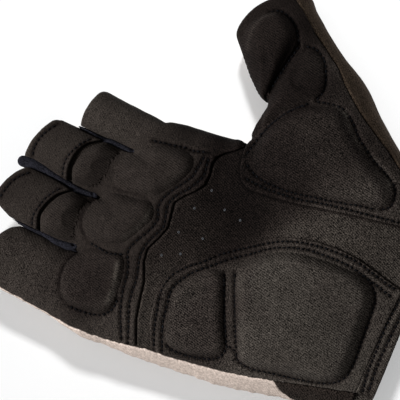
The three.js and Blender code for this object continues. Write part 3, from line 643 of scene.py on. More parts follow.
dark = cloth_material(
    "wrist_knit", (0.008, 0.0058, 0.0045), (0.027, 0.0205, 0.017), grain=0.5, weave=0.5, weave_pitch=0.9,
    spread=1.0)
navy = cloth_material(
    "navy_trim", (0.004, 0.004, 0.0055), (0.019, 0.019, 0.0255), grain=0.55, weave=0.4, bump=0.3)
thread = cloth_material(
    "thread", (0.0015, 0.0016, 0.0022), (0.007, 0.008, 0.0105), grain=0.45, bump=0.3, rough=0.7, glint_flecks=10)
vent_grey = cloth_material(
    "vent_thread", (0.015, 0.0165, 0.02), (0.08, 0.084, 0.09), grain=0.3, bump=0.3, rough=0.7)


def smoothed(vertices, faces, rounds):
    """Evens the grid's small steps out, without shrinking the piece."""
    sides = faces.shape[1]
    pairs = np.vstack([faces[:, [i, (i + 1) % sides]] for i in range(sides)])
    pairs = np.vstack([pairs, pairs[:, ::-1]])
    count = np.maximum(np.bincount(pairs[:, 0], minlength=len(vertices)), 1)[:, None]
    for share in (0.5, -0.53) * rounds:
        total = np.stack(
            [np.bincount(pairs[:, 0], vertices[pairs[:, 1], axis], len(vertices)) for axis in range(3)], 1)
        vertices = vertices + share * (total / count - vertices)
    return vertices


def on_plan(field, places):
    """A map's values at places given in millimetres."""
    u = np.clip((places[:, 0] - xs[0]) / STEP, 0, len(xs) - 1.001)
    v = np.clip((places[:, 1] - ys[0]) / STEP, 0, len(ys) - 1.001)
    i, j = u.astype(int), v.astype(int)
    fu, fv = u - i, v - j
    lower = field[i, j] * (1 - fu) + field[i + 1, j] * fu
    upper = field[i, j + 1] * (1 - fu) + field[i + 1, j + 1] * fu
    return lower * (1 - fv) + upper * fv


def build_mesh(name, vertices, faces, look, tone=None):
    """One piece of the glove, with its tone, dye and painted light and shade together, and how strong its
    grain at each vertex.
    """
    material, slot = look
    mesh = bpy.data.meshes.new(name)
    mesh.vertices.add(len(vertices))
    mesh.vertices.foreach_set("co", (np.asarray(vertices) * MM).astype(np.float32).ravel())
    sides = faces.shape[1]
    mesh.loops.add(faces.size)
    mesh.loops.foreach_set("vertex_index", faces.astype(np.int32).ravel())
    mesh.polygons.add(len(faces))
    mesh.polygons.foreach_set("loop_start", np.arange(0, faces.size, sides, dtype=np.int32))
    mesh.polygons.foreach_set("use_smooth", np.ones(len(faces), bool))
    for label, field in (("tone", tone), ("nap", None if tone is None else nap_map)):
        values = np.ones(len(vertices)) if field is None else on_plan(field, np.asarray(vertices))
        mesh.attributes.new(label, "FLOAT", "POINT").data.foreach_set("value", values.astype(np.float32))
    mesh.update(calc_edges=True)
    mesh.validate()
    mesh.materials.append(material)
    piece = bpy.data.objects.new(name, mesh)
    bpy.context.scene.collection.objects.link(piece)
    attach(piece, "root")
    return piece


WEB_GAP = -0.2
WEB_LOW = 8.0
WEB_FILL = 17.2
RIM_LEVEL = 22.0
RIM_LEAN = 0.2
pieces = {}


def surface_mesh(field, corner, rounds):
    """The evened surface where a field is zero, in millimetres."""
    vertices, faces = surface_net(field)
    vertices = smoothed(settled(vertices, field), faces, rounds)
    return vertices * STEP + np.array(corner), faces


def layer_piece(node, floor, top, plan, look, extra=None, rounding=0.6, tone=None):
    """A closed piece of cloth for a node, between two distances from the hand, inside a plan region."""
    plan = np.maximum(plan, rims)
    wanted = plan < 3 * STEP
    columns = np.flatnonzero(wanted.any(1))
    rows = np.flatnonzero(wanted.any(0))
    x0, x1 = max(columns[0] - 1, 0), columns[-1] + 2
    y0, y1 = max(rows[0] - 1, 0), rows[-1] + 2
    box = (slice(x0, x1), slice(y0, y1))
    near = distance[box]
    top = top(box) if callable(top) else np.broadcast_to(top, X.shape)[box][:, :, None]
    field = smooth_max(near - top, np.broadcast_to(plan[box][:, :, None], near.shape), rounding)
    field = np.maximum(field, floor - near)
    if extra is not None:
        field = np.maximum(field, extra(box))
    wrist_rim = (HEM_Y - hem_lip - Y)[box][:, :, None] + ((RIM_LEVEL - zs) * RIM_LEAN)[None, None, :]
    field = np.maximum(field, wrist_rim)
    taken = WEB_GAP - webs_taken[box]
    if taken.max() > -1:
        field = np.maximum(field, np.minimum(taken[:, :, None], (zs - WEB_LOW)[None, None, :]))
    vertices, faces = surface_mesh(field, (xs[x0], ys[y0], zs[0]), 2)
    pieces[node] = build_mesh(node + "_cloth", vertices, faces, look, tone)


# Lines of stitching on the palm side, each a few places along the line
SEAM_ROWS = {
    "middle_rim": [(7.7, 98.5), (12, 98.8), (17.4, 97.7), (23.5, 94.7)],
    "ring_rim": [(1.4, 96.8), (-2.1, 99.7), (-6, 101.6), (-12.4, 103.1)],
    "middle_strip": [(5.5, 83.9), (11.3, 84.5), (15.8, 83.5), (20.5, 81.6), (23.6, 79.2)],
    "ring_strip": [(0.8, 82), (-4.1, 84.8), (-8.7, 86.2), (-14.1, 87.3), (-17.6, 86.8)],
    "knuckle_inner": [
        (36.2, 33.8), (31, 33.9), (26.4, 34.4), (20.6, 37.8), (15.1, 40.5), (10.6, 41), (6.3, 38.9),
        (0.4, 40.5), (-5.1, 43.2), (-10, 44.5), (-16.3, 41.4), (-25.1, 39.8), (-31.9, 37.8), (-42.5, 33.4)],
    "knuckle_outer": [
        (36.5, 32), (32.3, 31), (29.1, 30.4), (22.9, 32.7), (17.8, 36.4), (13.3, 37.8), (7.5, 36.4),
        (4.4, 35.7), (-3.4, 38.7), (-9.7, 39.2), (-18.5, 36.7), (-26.7, 35.9), (-35.9, 32.7),
        (-42.8, 30.4)],
    "index_side": [(33.3, 55.1), (34.9, 47.6), (36.1, 42.9), (36.5, 38.2), (38.4, 32.9)],
    "little_side": [(-39.6, 57.7), (-38.8, 50), (-37, 44.4), (-33, 41), (-27.7, 40.5)],
    "between_knuckles": [(11.2, 44.5), (12, 50.5), (10.4, 57), (10, 62)],
    "ring_little": [(-11.8, 45.5), (-14, 51), (-13.6, 57), (-13.4, 62)],
    "heel_outer": [
        (-41.5, 19.6), (-33.2, 22.5), (-25.6, 24.4), (-17.7, 26), (-11.2, 24.7), (-6, 21), (-0.9, 15.5),
        (4, 11.3), (9.4, 5.1), (14.1, -1.3), (18.4, -7.9), (21.3, -15.2), (23.1, -22.8), (23.9, -30.9),
        (23.9, -38.1), (22.5, -45.1), (21.1, -52), (20.4, -56)],
    "heel_inner": [
        (-40.6, 16.3), (-30, 20.2), (-24, 21.2), (-17.4, 22.4), (-12, 21.1), (-6.4, 17.4), (-1.1, 12.1),
        (4.3, 6.8), (9.2, 0.8), (14.4, -5.6), (18, -12.6), (20.2, -20.2), (21.1, -28.4), (21.2, -36.7),
        (19.6, -45.8), (18, -52.7), (17.4, -56)],
    "channel_upper": [(-1.3, 6.3), (-14.9, -0.2), (-27.6, -7)],
    "channel_lower": [(0.4, 2.6), (-13.1, -4.1), (-26, -10.4)],
    "channel_tack": [(-26.2, -6.6), (-26.6, -10.4)],
    "heel_cuff_side": [
        (20.4, -41.6), (18.2, -47), (12.4, -50.9), (-1.7, -52.5), (-13, -53.4), (-19.2, -51.6), (-23, -46.4),
        (-25.6, -38.2), (-28.5, -26), (-30.3, -17.5), (-29.6, -12.6), (-26.6, -10.6)],
    "heel_small_side": [(-27.4, -6.6), (-31.2, -5.6), (-34, -2), (-36.4, 5.5), (-37.3, 12.5), (-36.4, 16.6)],
    "thenar_outer": [
        (35, 14.6), (34.7, 5.9), (35.2, -1), (36.2, -8.5), (38, -16), (39.7, -23.8), (42.6, -39.3),
        (44.8, -50), (46, -56)],
    "thenar_inner": [
        (40.3, 17), (37.6, 11.3), (36.8, 4.8), (37.4, -4.5), (39.3, -14.3), (41.5, -23.9), (43.6, -30.6),
        (44.6, -36.1)],
    "thenar_top": [(43.5, 18.9), (48, 18.1), (53.4, 16.6), (60.3, 13.4), (66.4, 8.8), (70.6, 3.2)],
    "thenar_side": [
        (72.9, 1.5), (74.4, -5), (74.3, -10), (70.9, -15.2), (66.8, -19.6), (61.7, -27.6), (58.3, -35.2),
        (54.4, -40.2), (48.4, -41.4), (45.6, -38.6)],
    "thumb_mid_side": [(91.2, 15.6), (91.9, 12), (90, 7.6), (86, 4), (81.5, 1.6), (77, 0.7), (73, 1.6)],
    "thumb_mid_root": [(71.2, 3.6), (67.6, 7.6), (62.6, 11.8), (57, 15.4), (52, 17.6)],
    "thumb_fold": [(90.4, 18.2), (87, 18.6), (83.4, 19.2), (79, 19.8), (75, 20.4), (70.4, 20.8)],
    "thumb_tip": [(97.6, 33.8), (99.6, 30.6), (99.2, 26.6), (97, 22.8), (94.2, 20.2), (91.2, 18.6)],
    "cuff_inner": [
        (44, -59), (30, -58.6), (18, -58.8), (6.4, -58.5), (-3.8, -58.9), (-12.3, -59.4), (-20.6, -60.6)],
    "cuff_outer": [
        (44, -62), (30, -61.6), (18, -61.8), (6, -61.6), (-2.6, -61.5), (-11.2, -61.8), (-19.6, -62.8)],
}
PITCH = 1.95
SEAM_WIDTH = 0.7
SEAM_DEPTH = 0.85
PUCKER_WIDTH = 1.4
PUCKER_RISE = 0.28
SWELL = 0.35
UNEVENNESS = 0.16
seam_groove = np.zeros(X.shape)
seam_pucker = np.zeros(X.shape)
seam_shade = np.zeros(X.shape)
FAINT_ROWS = ("between_knuckles", "ring_little")
uneven_pull = 0.55 + 0.6 * noise(3.1, 61)
for name, row in SEAM_ROWS.items():
    away, run = polyline_field(curve(row, per_span=4))
    strength = 0.45 if name in FAINT_ROWS else 1
    seam_groove = np.maximum(seam_groove, strength * np.exp(-((away / SEAM_WIDTH) ** 2)))
    near_row = strength * np.exp(-((away / PUCKER_WIDTH) ** 2))
    seam_shade = np.maximum(seam_shade, near_row)
    wave = np.sin(2 * math.pi * run / PITCH + 1.4 * noise(2.4, 62)) * uneven_pull
    seam_pucker = np.where(near_row > np.abs(seam_pucker), near_row * wave, seam_pucker)

unevenness = 0.5 * noise(9, 3) + 0.3 * noise(4.5, 4) + 0.2 * noise(2.2, 5)
panel_top = PANEL[1] + SWELL - SEAM_DEPTH * seam_groove + PUCKER_RISE * seam_pucker + UNEVENNESS * unevenness

LITTLE_PAD_END = [(-20, 66), (-23.4, 66.8), (-28.8, 66.7), (-33.7, 65.3), (-37.6, 62.9), (-39.4, 58.9)]
RING_PAD_END = [(4.4, 67.8), (-1.2, 69.6), (-6.1, 68.9), (-9.7, 67.1), (-12.3, 64.2)]

# Creases of the panels away from their seams: line, depth and half width
CREASES = [
    ([(-15.7, 44.3), (-21, 43), (-27.9, 42.9)], 0.35, 0.7),
    ([(11.4, 66), (8.6, 70), (6.4, 75)], 0.5, 2.6),
    ([(24, 67), (18, 66), (12, 65)], 0.7, 3.2),
    ([(-15, 67.6), (-8, 69.4), (0, 69.6)], 0.7, 3.0),
    ([(-40.5, 60), (-40.8, 52), (-38.8, 44)], 0.5, 1.2),
    ([(64.3, -20.2), (60.5, -27.5), (57.7, -35.4)], 0.3, 0.8),
    ([(46, 22), (52, 19.6), (58, 19)], 0.5, 1.6),
    ([(36, 27.5), (43, 23.5), (48, 21.5)], 0.4, 1.0),
    ([(90, 18.2), (84, 19.3), (78, 20), (72, 20.6), (66, 20.9)], 1.1, 1.6),
    ([(90, 14.9), (84.6, 16.9), (78.4, 18.5), (72.6, 20.3)], 0.6, 0.6),
    ([(-24, 92), (-30, 84), (-38, 79)], 0.35, 2.6),
    ([(30, 84), (36, 78), (41, 74)], 0.25, 2.6),
    (LITTLE_PAD_END, 0.45, 0.7),
    (RING_PAD_END, 0.35, 0.8),
]
DEEPEST_CREASE = 0.75
creased = np.zeros(X.shape)
for line, depth, width in CREASES:
    away, _ = polyline_field(curve(line, per_span=4))
    creased = creased + depth * np.exp(-((away / width) ** 2))
on_thumb = X >= 60
creased = np.where(on_thumb, creased, np.minimum(creased, DEEPEST_CREASE))
panel_top = panel_top - creased
pad_base = PANEL[1] + SWELL + UNEVENNESS * unevenness - creased

# How light each area is and how strong its nap: its middle, reach, tone and nap. The tone is mostly painted
# # light and shade: darkest in the palm's hollow and under the index finger, lightest on the heel; the thumb
# is also made darker.
AREA_TONE_AND_SHADE = {
    "heel": (0, -26, 18, 1.16, 0.85),
    "upper heel": (-20, 9, 12, 0.64, 1.25),
    "palm hollow": (8, 28, 10, 0.36, 1.2),
    "under index": (24, 15, 13, 0.15, 1.2),
    "palm at cuff": (30, -35, 16, 0.88, 1.2),
    "thenar": (46, 2, 13, 0.245, 1.25),
    "thenar side": (62, -12, 12, 0.52, 1.15),
    "thumb": (79, 17, 15, 0.22, 0.8),
    "thumb side": (89, 6, 7, 0.66, 0.8),
    "thumb outer side": (76, -14, 7, 0.6, 0.8),
    "thumb end": (94, 34, 12, 0.34, 0.55),
    "index root": (22, 50, 12, 0.6, 0.5),
    "ring root": (-2, 54, 11, 0.55, 0.5),
    "little root": (-26, 54, 11, 0.38, 0.8),
    "middle finger": (15, 72, 8, 0.52, 0.45),
    "ring finger": (-8, 76, 8, 0.56, 0.45),
    "finger ends": (4, 96, 14, 0.68, 0.45),
    "little finger": (-32, 82, 14, 0.76, 0.85),
    "index finger": (36, 72, 12, 0.9, 0.6),
    "palm edge": (-38, 30, 12, 0.85, 0.95),
}
weights = [np.exp(-((X - x) ** 2 + (Y - y) ** 2) / reach ** 2) + 1e-9 for x, y, reach, _, _ in AREA_TONE_AND_SHADE.values()]
tone_and_shade_map, nap_map = (
    sum(weight * row[kind] for weight, row in zip(weights, AREA_TONE_AND_SHADE.values())) / sum(weights) for kind in (3, 4))
# Random unevenness of the dye, painted shade in the stitch grooves and in a band along each row, and painted
# highlights on the puckers between stitches
tone_and_shade_map = tone_and_shade_map * (1 + 0.12 * noise(14, 11) + 0.08 * noise(6, 12)) * (1 - 0.4 * seam_groove)
tone_and_shade_map = tone_and_shade_map * (1 - 0.22 * seam_shade)
tone_and_shade_map = tone_and_shade_map * (1 + 0.45 * seam_pucker)

# Painted highlights along ridges and painted shade in the lines where a pad meets its panel: line, change of
# tone and half width
EDGE_HIGHLIGHTS_AND_SHADE = [
    ([(-16, 46), (-17.7, 45.2), (-22.9, 43.8), (-27.2, 43.2), (-31.5, 43.4)], 1.8, 0.9),
    (LITTLE_PAD_END + [(-39.6, 53)], -0.55, 0.7),
    (RING_PAD_END, -0.5, 0.8),
    ([(-5.8, 48), (-0.9, 44.9), (4.3, 43), (9.5, 42.8)], 1.1, 0.9),
    ([(32.3, 36.6), (27.9, 37.6), (23.1, 39.8), (19.6, 41.7)], 0.4, 0.9),
    ([(81, 36), (83.4, 37), (88.6, 36.6), (94.4, 34.8), (98.5, 31.1)], 1.2, 0.8),
    ([(72.9, -11), (65.9, -18.7), (62.3, -27), (59, -34), (55.9, -37.9)], 1.5, 0.8),
    ([(72.7, -0.1), (74.4, -6), (73.3, -11)], 1.4, 0.8),
    ([(72.9, 1.8), (70.6, 5.8), (64.1, 11.7), (57.5, 15.4), (51.7, 18.3)], 0.8, 1.3),
    ([(89, 2.5), (83.5, -5), (78, -12.5), (73, -21), (67.4, -33)], 0.6, 0.9),
]
for line, change, width in EDGE_HIGHLIGHTS_AND_SHADE:
    away, _ = polyline_field(curve(line, per_span=4))
    tone_and_shade_map = tone_and_shade_map * (1 + change * np.exp(-((away / width) ** 2)) * (1 + 0.5 * noise(3, 71)))

knuckle_edge, _ = polyline_field(KNUCKLE_EDGE)
thumb_edge, _ = polyline_field(THUMB_EDGE)
heel_edge, _ = polyline_field(HEEL_EDGE)
# Painted shade on the palm's cloth along the edges of the knuckle, thumb and heel panels, where their shadow
# falls
panel_edge_shade = np.maximum(np.exp(-((knuckle_edge / 0.45) ** 2)), 1.7 * np.exp(-((thumb_edge / 0.75) ** 2)))
panel_edge_shade = np.maximum(panel_edge_shade, 0.5 * np.exp(-((heel_edge / 0.6) ** 2)))
palm_tone_and_shade = tone_and_shade_map * (1 - 0.5 * panel_edge_shade)

suede_look = (suede, "panel_suede")
pad_look = (pad_suede, "pad_suede")
palm_look = (palm_cloth, "palm_fabric")
BACK_GAP = GAP * 0.3
MEETING_REACH = 4.0
FLOOR_REACH = 3.0


# Limits of the pieces, each a field that is above zero where the piece must end
def over_side(box):
    return (SIDE_HEIGHT + GAP / 2 - zs)[None, None, :]


def above_side(box):
    return np.maximum(palm_region[box][:, :, None], over_side(box))


def below_side(box):
    return BACK_GAP - above_side(box)


def at_side(box):
    """The panels end just short of the palm's outline, and reach past it near the thumb's rim."""
    return (palm_region + np.where(X > 98, -0.3, SEAM_GAP))[box][:, :, None]


def past_hem(box):
    return (HEM_Y + HEM_WIDTH + SEAM_GAP - Y)[box][:, :, None]


def limits(*kept):
    """Several limits of one piece, all of them kept."""
    return lambda box: functools.reduce(np.maximum, [limit(box) for limit in kept])


# Puckers of the pale cloth where it is sewn to the palm, fading down the side
_, edge_run = polyline_field(PALM_OUTLINE)
pucker = np.sin(2 * math.pi * edge_run / 7.3 + 2.2 * noise(9, 21))
pucker = pucker + 0.6 * np.sin(2 * math.pi * edge_run / 3.1)
palm_region = palm_region + (0.07 * pucker + 0.16 * noise(3, 22)) * (X < 0)


def off_floor(box, folds, meeting):
    """Folds of the back's cloth and its rise where it meets the palm, none where it lies on the surface."""
    meets = meeting * np.exp(-((above_side(box) / MEETING_REACH) ** 2))
    return (folds + meets) * np.clip(zs / FLOOR_REACH, 0, 1)[None, None, :]


def side_folds(box):
    fade = np.exp(-((SIDE_HEIGHT - zs) / 4.5) ** 2)[None, None, :]
    folds = 0.16 * pucker[box][:, :, None] * fade + 0.5 * noise(15, 23)[box][:, :, None]
    return SKIN - 0.2 + off_floor(box, folds, 1.1)


def plain_side(box):
    return SKIN + off_floor(box, (0.3 * noise(14, 25)[box] + 0.1 * noise(4, 26)[box])[:, :, None], 1.5)


def hem_top(box):
    """The hem is as thick as the panels on the palm side, and thin where the glove lies on it."""
    over = np.clip((zs - SIDE_HEIGHT) / 4, 0, 1)[None, None, :] * (palm_region[box] < 0)[:, :, None]
    return SKIN + (panel_top[box][:, :, None] - SKIN) * over


# The palm's cloth rises to the knuckle panel's edge, so that no deep step shows there
knuckle_plan = region(KNUCKLE_OUTLINE)
met = np.clip((knuckle_plan - 0.3) / 0.5, 0, 1) * np.exp(-((knuckle_plan / 2.8) ** 2)) * (knuckle_edge < 6)
palm_top = SKIN + 0.18 * unevenness + 0.12 * noise(16, 31) - 0.25 * seam_groove + 0.95 * met
brown_region = region(BROWN_OUTLINE)
wrist_region = region(WRIST_OUTLINE)

layer_piece("palm_base", 0, palm_top, palm_region, palm_look, limits(above_side, past_hem), tone=palm_tone_and_shade)
layer_piece("wrist_back", 0, plain_side, wrist_region, (dark, "wrist_knit"), limits(below_side, past_hem))
layer_piece(
    "thumb_back", 0, plain_side, np.maximum(brown_region, BACK_GAP - wrist_region), (brown, "brown_fabric"),
    limits(below_side, past_hem))
layer_piece(
    "back_panel", 0, side_folds, np.maximum(GAP - brown_region, BACK_GAP - wrist_region),
    (cream, "back_knit"), below_side)
layer_piece(
    "cuff_hem", -0.8, hem_top, np.full_like(X, -50), palm_look, lambda box: -past_hem(box) - SEAM_GAP,
    rounding=1.2, tone=tone_and_shade_map)

STRIP_EDGES = {
    "middle_pull_loop": [
        (4, 81.2), (5.2, 81.6), (10.2, 82.4), (15.3, 82.2), (18.6, 81.4), (21.8, 79.7), (24.6, 76.2),
        (25.9, 74)],
    "ring_pull_loop": [
        (-19, 84.3), (-16.4, 84.6), (-11.6, 85.4), (-6.7, 84.3), (-1.7, 82), (1.1, 79.2), (3.8, 76)],
}
STRIP_GAP = 0.85
STRIP_SLOPE = 0.9
strip_cuts = []
for node, edge in STRIP_EDGES.items():
    line = curve(edge)
    start = np.interp(X, line[:, 0], line[:, 1])
    beside = np.abs(X - (edge[0][0] + edge[-1][0]) / 2) - (edge[-1][0] - edge[0][0]) / 2
    strip_cuts.append(np.maximum(beside, (start - STRIP_GAP - Y) * STRIP_SLOPE))
    lip = 0.9 * np.exp(-(((Y - start - 1.1) / 1.3) ** 2)) + 0.35 * np.exp(-((rims + 1.5) / 1.4) ** 2)
    strip_top = LOOP[1] + 0.25 - 0.6 * seam_groove + 0.1 * seam_pucker + 0.15 * unevenness + lip
    layer_piece(
        node, LOOP[0], strip_top, np.maximum(beside, (start - Y) * STRIP_SLOPE), suede_look, over_side,
        tone=tone_and_shade_map)

knuckle_region = np.maximum(knuckle_plan, -np.minimum(*strip_cuts))
thumb_region = region(THUMB_OUTLINE)
PANEL_PLANS = {
    "thumb_panel": thumb_region,
    "knuckle_panel": np.maximum(knuckle_region, GAP - thumb_region),
    "heel_panel": np.maximum(region(HEEL_OUTLINE), GAP - knuckle_region),
}
PANEL_ROUNDING = 1.1
for node, plan in PANEL_PLANS.items():
    layer_piece(
        node, PANEL[0], panel_top, plan, suede_look, limits(over_side, at_side, past_hem), PANEL_ROUNDING,
        tone=tone_and_shade_map)

# Pads: a steep shoulder all round, easing into a long slope on the side that soft_way names
for node, pad in PADS.items():
    outline = curve(pad["edge"], closed=True, per_span=5)
    away = region(outline)
    centre = outline.mean(0)
    soft_way = np.array(pad["soft_way"], float)
    toward = (X - centre[0]) * soft_way[0] + (Y - centre[1]) * soft_way[1]
    toward = toward / np.maximum(np.hypot(X - centre[0], Y - centre[1]) * np.hypot(*soft_way), 1e-6)
    softness = pad["soft"] * np.clip((toward + 0.1) / 0.8, 0, 1) ** 1.5
    steep = 1 - (1 - np.clip(-away / pad["shoulder"], 0, 1)) ** 2.4
    easy = np.clip(-away / (pad["shoulder"] * 2.1), 0, 1)
    easy = easy * easy * (3 - 2 * easy)
    dome = 0.88 + 0.12 * np.clip(-away / 16, 0, 1)
    rise = pad["rise"] * (steep * (1 - softness) + easy * softness) * (dome + 0.05 * noise(12, 41))
    _, run = polyline_field(outline, closed=True)
    gathers = 0.14 * np.sin(2 * math.pi * run / PITCH) * np.exp(np.minimum(away, 0) / 1.6)
    layer_piece(
        node, PAD_FLOOR, pad_base + 0.1 + rise + gathers, away - PAD_LAP, pad_look, over_side, PAD_LAP,
        tone=tone_and_shade_map)

# Webs: a rounded edge that shows, over a filling between the cloths of the two fingers
WEB_TOP = 18.4
WEB_FOOT = 3.5
for row, away, first, second in zip(WEB_ROWS, web_fields, FINGERS, FINGERS[1:]):
    web = np.array(row)
    half_width = np.interp(Y, web[::-1, 1], web[::-1, 2])
    crown = WEB_TOP - 1.1 * np.clip(1 + away / np.maximum(half_width, 0.4), 0, 1) ** 2 + 0.4 * noise(5, 51)
    mouth = np.hypot(X - web[-1, 0], (Y - web[-1, 1] - 1.4) * 0.6) - 0.55
    crown = crown - 2.2 * np.clip(-mouth / 0.5, 0, 1)
    field = smooth_max(
        np.broadcast_to(away[:, :, None], distance.shape), (zs[None, None, :] - crown[:, :, None]), 0.35)
    cloth_level = np.where(zs > SIDE_HEIGHT + GAP / 2, PANEL[1] + 0.6, SKIN + 0.25)[None, None, :]
    between = np.maximum(np.maximum(away - 3, rims + 0.1)[:, :, None], cloth_level - distance)
    between = np.maximum(between, (zs - WEB_FILL)[None, None, :])
    field = np.maximum(np.minimum(field, between), (WEB_FOOT - zs)[None, None, :])
    vertices, faces = surface_mesh(field, (xs[0], ys[0], zs[0]), 1)
    node = "web_%s_%s" % (first["name"], second["name"])
    pieces[node] = build_mesh(node + "_cloth", vertices, faces, (navy, "navy_trim"))

for node, piece in pieces.items():
    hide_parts(node)


def cloth_tree(nodes):
    """What a ray from above meets first, for placing the stitches."""
    vertices = []
    faces = []
    for node in nodes:
        mesh = pieces[node].data
        places = np.empty(len(mesh.vertices) * 3)
        mesh.vertices.foreach_get("co", places)
        corners = np.empty(len(mesh.loops), np.int32)
        mesh.loops.foreach_get("vertex_index", corners)
        faces += (corners.reshape(-1, 4) + len(vertices)).tolist()
        vertices += [tuple(p) for p in (places.reshape(-1, 3) / MM).tolist()]
    return BVHTree.FromPolygons(vertices, faces)


def thinned(piece, most):
    """Joins the smallest faces of a piece, down to a number of triangles."""
    triangles = 2 * len(piece.data.polygons)
    if triangles <= most:
        return
    thinning = piece.modifiers.new("thinning", "DECIMATE")
    thinning.ratio = most / triangles
    evaluated = bpy.context.evaluated_depsgraph_get()
    mesh = bpy.data.meshes.new_from_object(
        piece.evaluated_get(evaluated), preserve_all_data_layers=True, depsgraph=evaluated)
    piece.modifiers.clear()
    piece.data = mesh


top_tree = cloth_tree([node for node in pieces if "back" not in node])
PALM_TRIANGLES = 190000
thinned(pieces["palm_base"], PALM_TRIANGLES)


def surface_at(x, y):
    place, normal, _, _ = top_tree.ray_cast(Vector((x, y, 80)), Vector((0, 0, -1)))
    return (None, None) if place is None else (np.array(place), np.array(normal))


def tube_faces(start, rings, sides, joined=False):
    """Faces between rings of vertices, which run on to the first ring again where they are joined."""
    faces = []
    for ring in range(rings if joined else rings - 1):
        here, after = start + ring * sides, start + (ring + 1) % rings * sides
        for k in range(sides):
            beside = (k + 1) % sides
            faces.append((here + k, here + beside, after + beside, after + k))
    return faces


# Stitches: short lengths of thread that dip into the cloth at both ends. Each ring of a stitch has its
# share of the length, its lift over the cloth and its share of the thread's thickness.
STITCH_LENGTH = 1.4
THREAD = 0.3
THREAD_SIDES = 6
THREAD_RINGS = [
    (0, -0.35, 0.7), (0.12, 0.02, 0.95), (0.35, 0.2, 1.1), (0.65, 0.2, 1.1), (0.88, 0.02, 0.95),
    (1, -0.35, 0.7)]


def stitch_places(row):
    line = curve(row)
    steps = np.hypot(*np.diff(line, axis=0).T)
    walked = np.concatenate([[0], np.cumsum(steps)])
    starts = np.arange(0.3, walked[-1] - STITCH_LENGTH, PITCH)
    found = []
    for start in starts + 0.12 * np.sin(starts):
        ends = [[np.interp(at, walked, line[:, k]) for k in (0, 1)] for at in (start, start + STITCH_LENGTH)]
        (a, up_a), (b, up_b) = (surface_at(*end) for end in ends)
        if a is not None and b is not None and abs(a[2] - b[2]) < 1.5:
            found.append((a, b, up_a + up_b))
    return found


def stitches(rows):
    """All the stitches as one mesh of short bent tubes with closed ends."""
    rng = np.random.default_rng(7)
    vertices = []
    faces = []
    for a, b, up in [places for row in rows for places in stitch_places(row)]:
        along = (b - a) / np.linalg.norm(b - a)
        up = up - up.dot(along) * along
        up /= np.linalg.norm(up)
        side = np.cross(along, up)
        sway = rng.uniform(-0.12, 0.12)
        first = len(vertices)
        for share, lift, girth in THREAD_RINGS:
            middle = a + (b - a) * share + up * lift + side * sway * (share - 0.5) * 2
            for k in range(THREAD_SIDES):
                angle = 2 * math.pi * k / THREAD_SIDES
                vertices.append(middle + THREAD * girth * (math.cos(angle) * side + math.sin(angle) * up))
        faces += tube_faces(first, len(THREAD_RINGS), THREAD_SIDES)
        for ring, order in ((0, 1), (len(THREAD_RINGS) - 1, -1)):
            hub = first + ring * THREAD_SIDES
            ends = [hub + k for k in range(THREAD_SIDES)][::order]
            faces.append((ends[3], ends[2], ends[1], ends[0]))
            faces.append((ends[5], ends[4], ends[3], ends[0]))
    build_mesh("palm_stitches", np.array(vertices), np.array(faces), (thread, "navy_trim"))


stitches([row for name, row in SEAM_ROWS.items() if name != "between_knuckles"])

# Small vent eyelets in the palm's cloth
VENTS = [
    (16.2, 28.2), (20.6, 17.5), (19.5, 10.4), (5.2, 29.6), (6.9, 20.2), (-5.7, 31.9), (25.3, 25.1),
    (-2.1, 25.3)]
VENT_RADIUS = 0.34
VENT_THREAD = 0.2
VENT_TURNS = 14
VENT_SIDES = 6
vent_vertices = []
vent_faces = []
for x, y in VENTS:
    spot, _ = surface_at(x, y)
    rounds = tube_faces(len(vent_vertices), VENT_TURNS, VENT_SIDES, joined=True)
    vent_faces += [(a, d, c, b) for a, b, c, d in rounds]
    for turn in 2 * math.pi * np.arange(VENT_TURNS) / VENT_TURNS:
        for round_at in 2 * math.pi * np.arange(VENT_SIDES) / VENT_SIDES:
            reach = VENT_RADIUS + VENT_THREAD * math.cos(round_at)
            place = [math.cos(turn) * reach, math.sin(turn) * reach, VENT_THREAD * math.sin(round_at)]
            vent_vertices.append(spot + np.array(place))
build_mesh("palm_vents", np.array(vent_vertices), np.array(vent_faces), (vent_grey, "navy_trim"))

# Camera: the photograph's view, nearly from above and a little from the wrist side
VIEW_ELEVATION = math.radians(76.0)
VIEW_DISTANCE = 700.0
VIEW_TURN = math.radians(155.0)
VIEW_CENTRE = Vector((20.0, 30.0, 15.0))
PIXELS_PER_MM = 2.54
FRAME_PIXELS = 400
SENSOR = 36.0

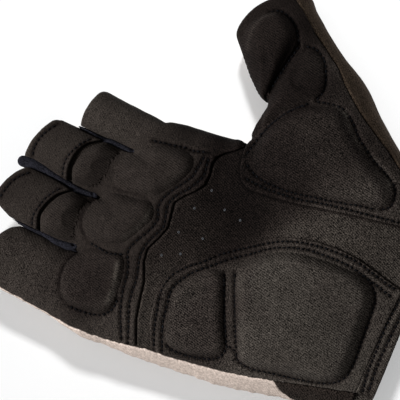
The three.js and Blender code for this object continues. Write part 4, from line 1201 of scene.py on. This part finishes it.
back = Vector((0, -math.cos(VIEW_ELEVATION), math.sin(VIEW_ELEVATION)))
level_right = Vector((1, 0, 0))
level_up = level_right.cross(-back)
roll = VIEW_TURN - math.pi / 2
view_right = math.cos(roll) * level_right - math.sin(roll) * level_up
view_up = math.sin(roll) * level_right + math.cos(roll) * level_up
camera_data = bpy.data.cameras.new("camera")
camera_data.sensor_width = SENSOR
camera_data.lens = PIXELS_PER_MM * VIEW_DISTANCE / FRAME_PIXELS * SENSOR
camera_data.clip_start = 0.01
camera_data.clip_end = 20
camera = bpy.data.objects.new("camera", camera_data)
bpy.context.scene.collection.objects.link(camera)
camera.rotation_euler = Matrix((view_right, view_up, back)).transposed().to_euler()
camera.location = (VIEW_CENTRE + back * VIEW_DISTANCE) * MM
bpy.context.scene.camera = camera

# Floor and studio light
floor_material = bpy.data.materials.new("floor")
floor_material.use_nodes = True
floor_shader = floor_material.node_tree.nodes["Principled BSDF"]
floor_shader.inputs["Base Color"].default_value = (0.945, 0.95, 0.953, 1)
floor_shader.inputs["Roughness"].default_value = 1
floor_shader.inputs["Specular IOR Level"].default_value = 0
floor_mesh = bpy.data.meshes.new("floor")
FLOOR_HALF = 3.0
floor_corners = [(x * FLOOR_HALF, y * FLOOR_HALF, 0) for x, y in ((-1, -1), (1, -1), (1, 1), (-1, 1))]
floor_mesh.from_pydata(floor_corners, [], [(0, 1, 2, 3)])
floor_mesh.materials.append(floor_material)
floor = bpy.data.objects.new("floor", floor_mesh)
bpy.context.scene.collection.objects.link(floor)

world = bpy.data.worlds.new("studio")
bpy.context.scene.world = world
world.use_nodes = True
world.node_tree.nodes["Background"].inputs["Color"].default_value = (1, 1, 1, 1)
world.node_tree.nodes["Background"].inputs["Strength"].default_value = 0.17
bpy.context.scene.view_settings.view_transform = "Standard"


def area_light(name, place, target, size, power):
    data = bpy.data.lights.new(name, "AREA")
    data.size = size
    data.energy = power
    light = bpy.data.objects.new(name, data)
    light.location = place
    light.rotation_euler = (Vector(target) - Vector(place)).to_track_quat("-Z", "Y").to_euler()
    bpy.context.scene.collection.objects.link(light)
    return light


def lights_only(light, *lit):
    """Keeps a light to some objects: the floor and the glove are lit apart, as in a studio shot."""
    chosen = bpy.data.collections.new(light.name + "_lit")
    for thing in lit:
        chosen.objects.link(thing)
    light.light_linking.receiver_collection = chosen


glove = [thing for thing in bpy.context.scene.objects if thing.type == "MESH" and thing != floor]
key = area_light("key", (-0.55, 1.0, 1.25), (0, 0, 0), 0.5, 36)
lights_only(key, *glove)
side = area_light("side", (1.0, 0.26, 1.3), (0, 0, 0), 0.16, 15.5)
lights_only(side, floor)
fill = area_light("fill", (0, 0, 2.2), (0, 0, 0), 2.0, 27)
lights_only(fill, floor)
fill.data.use_shadow = False
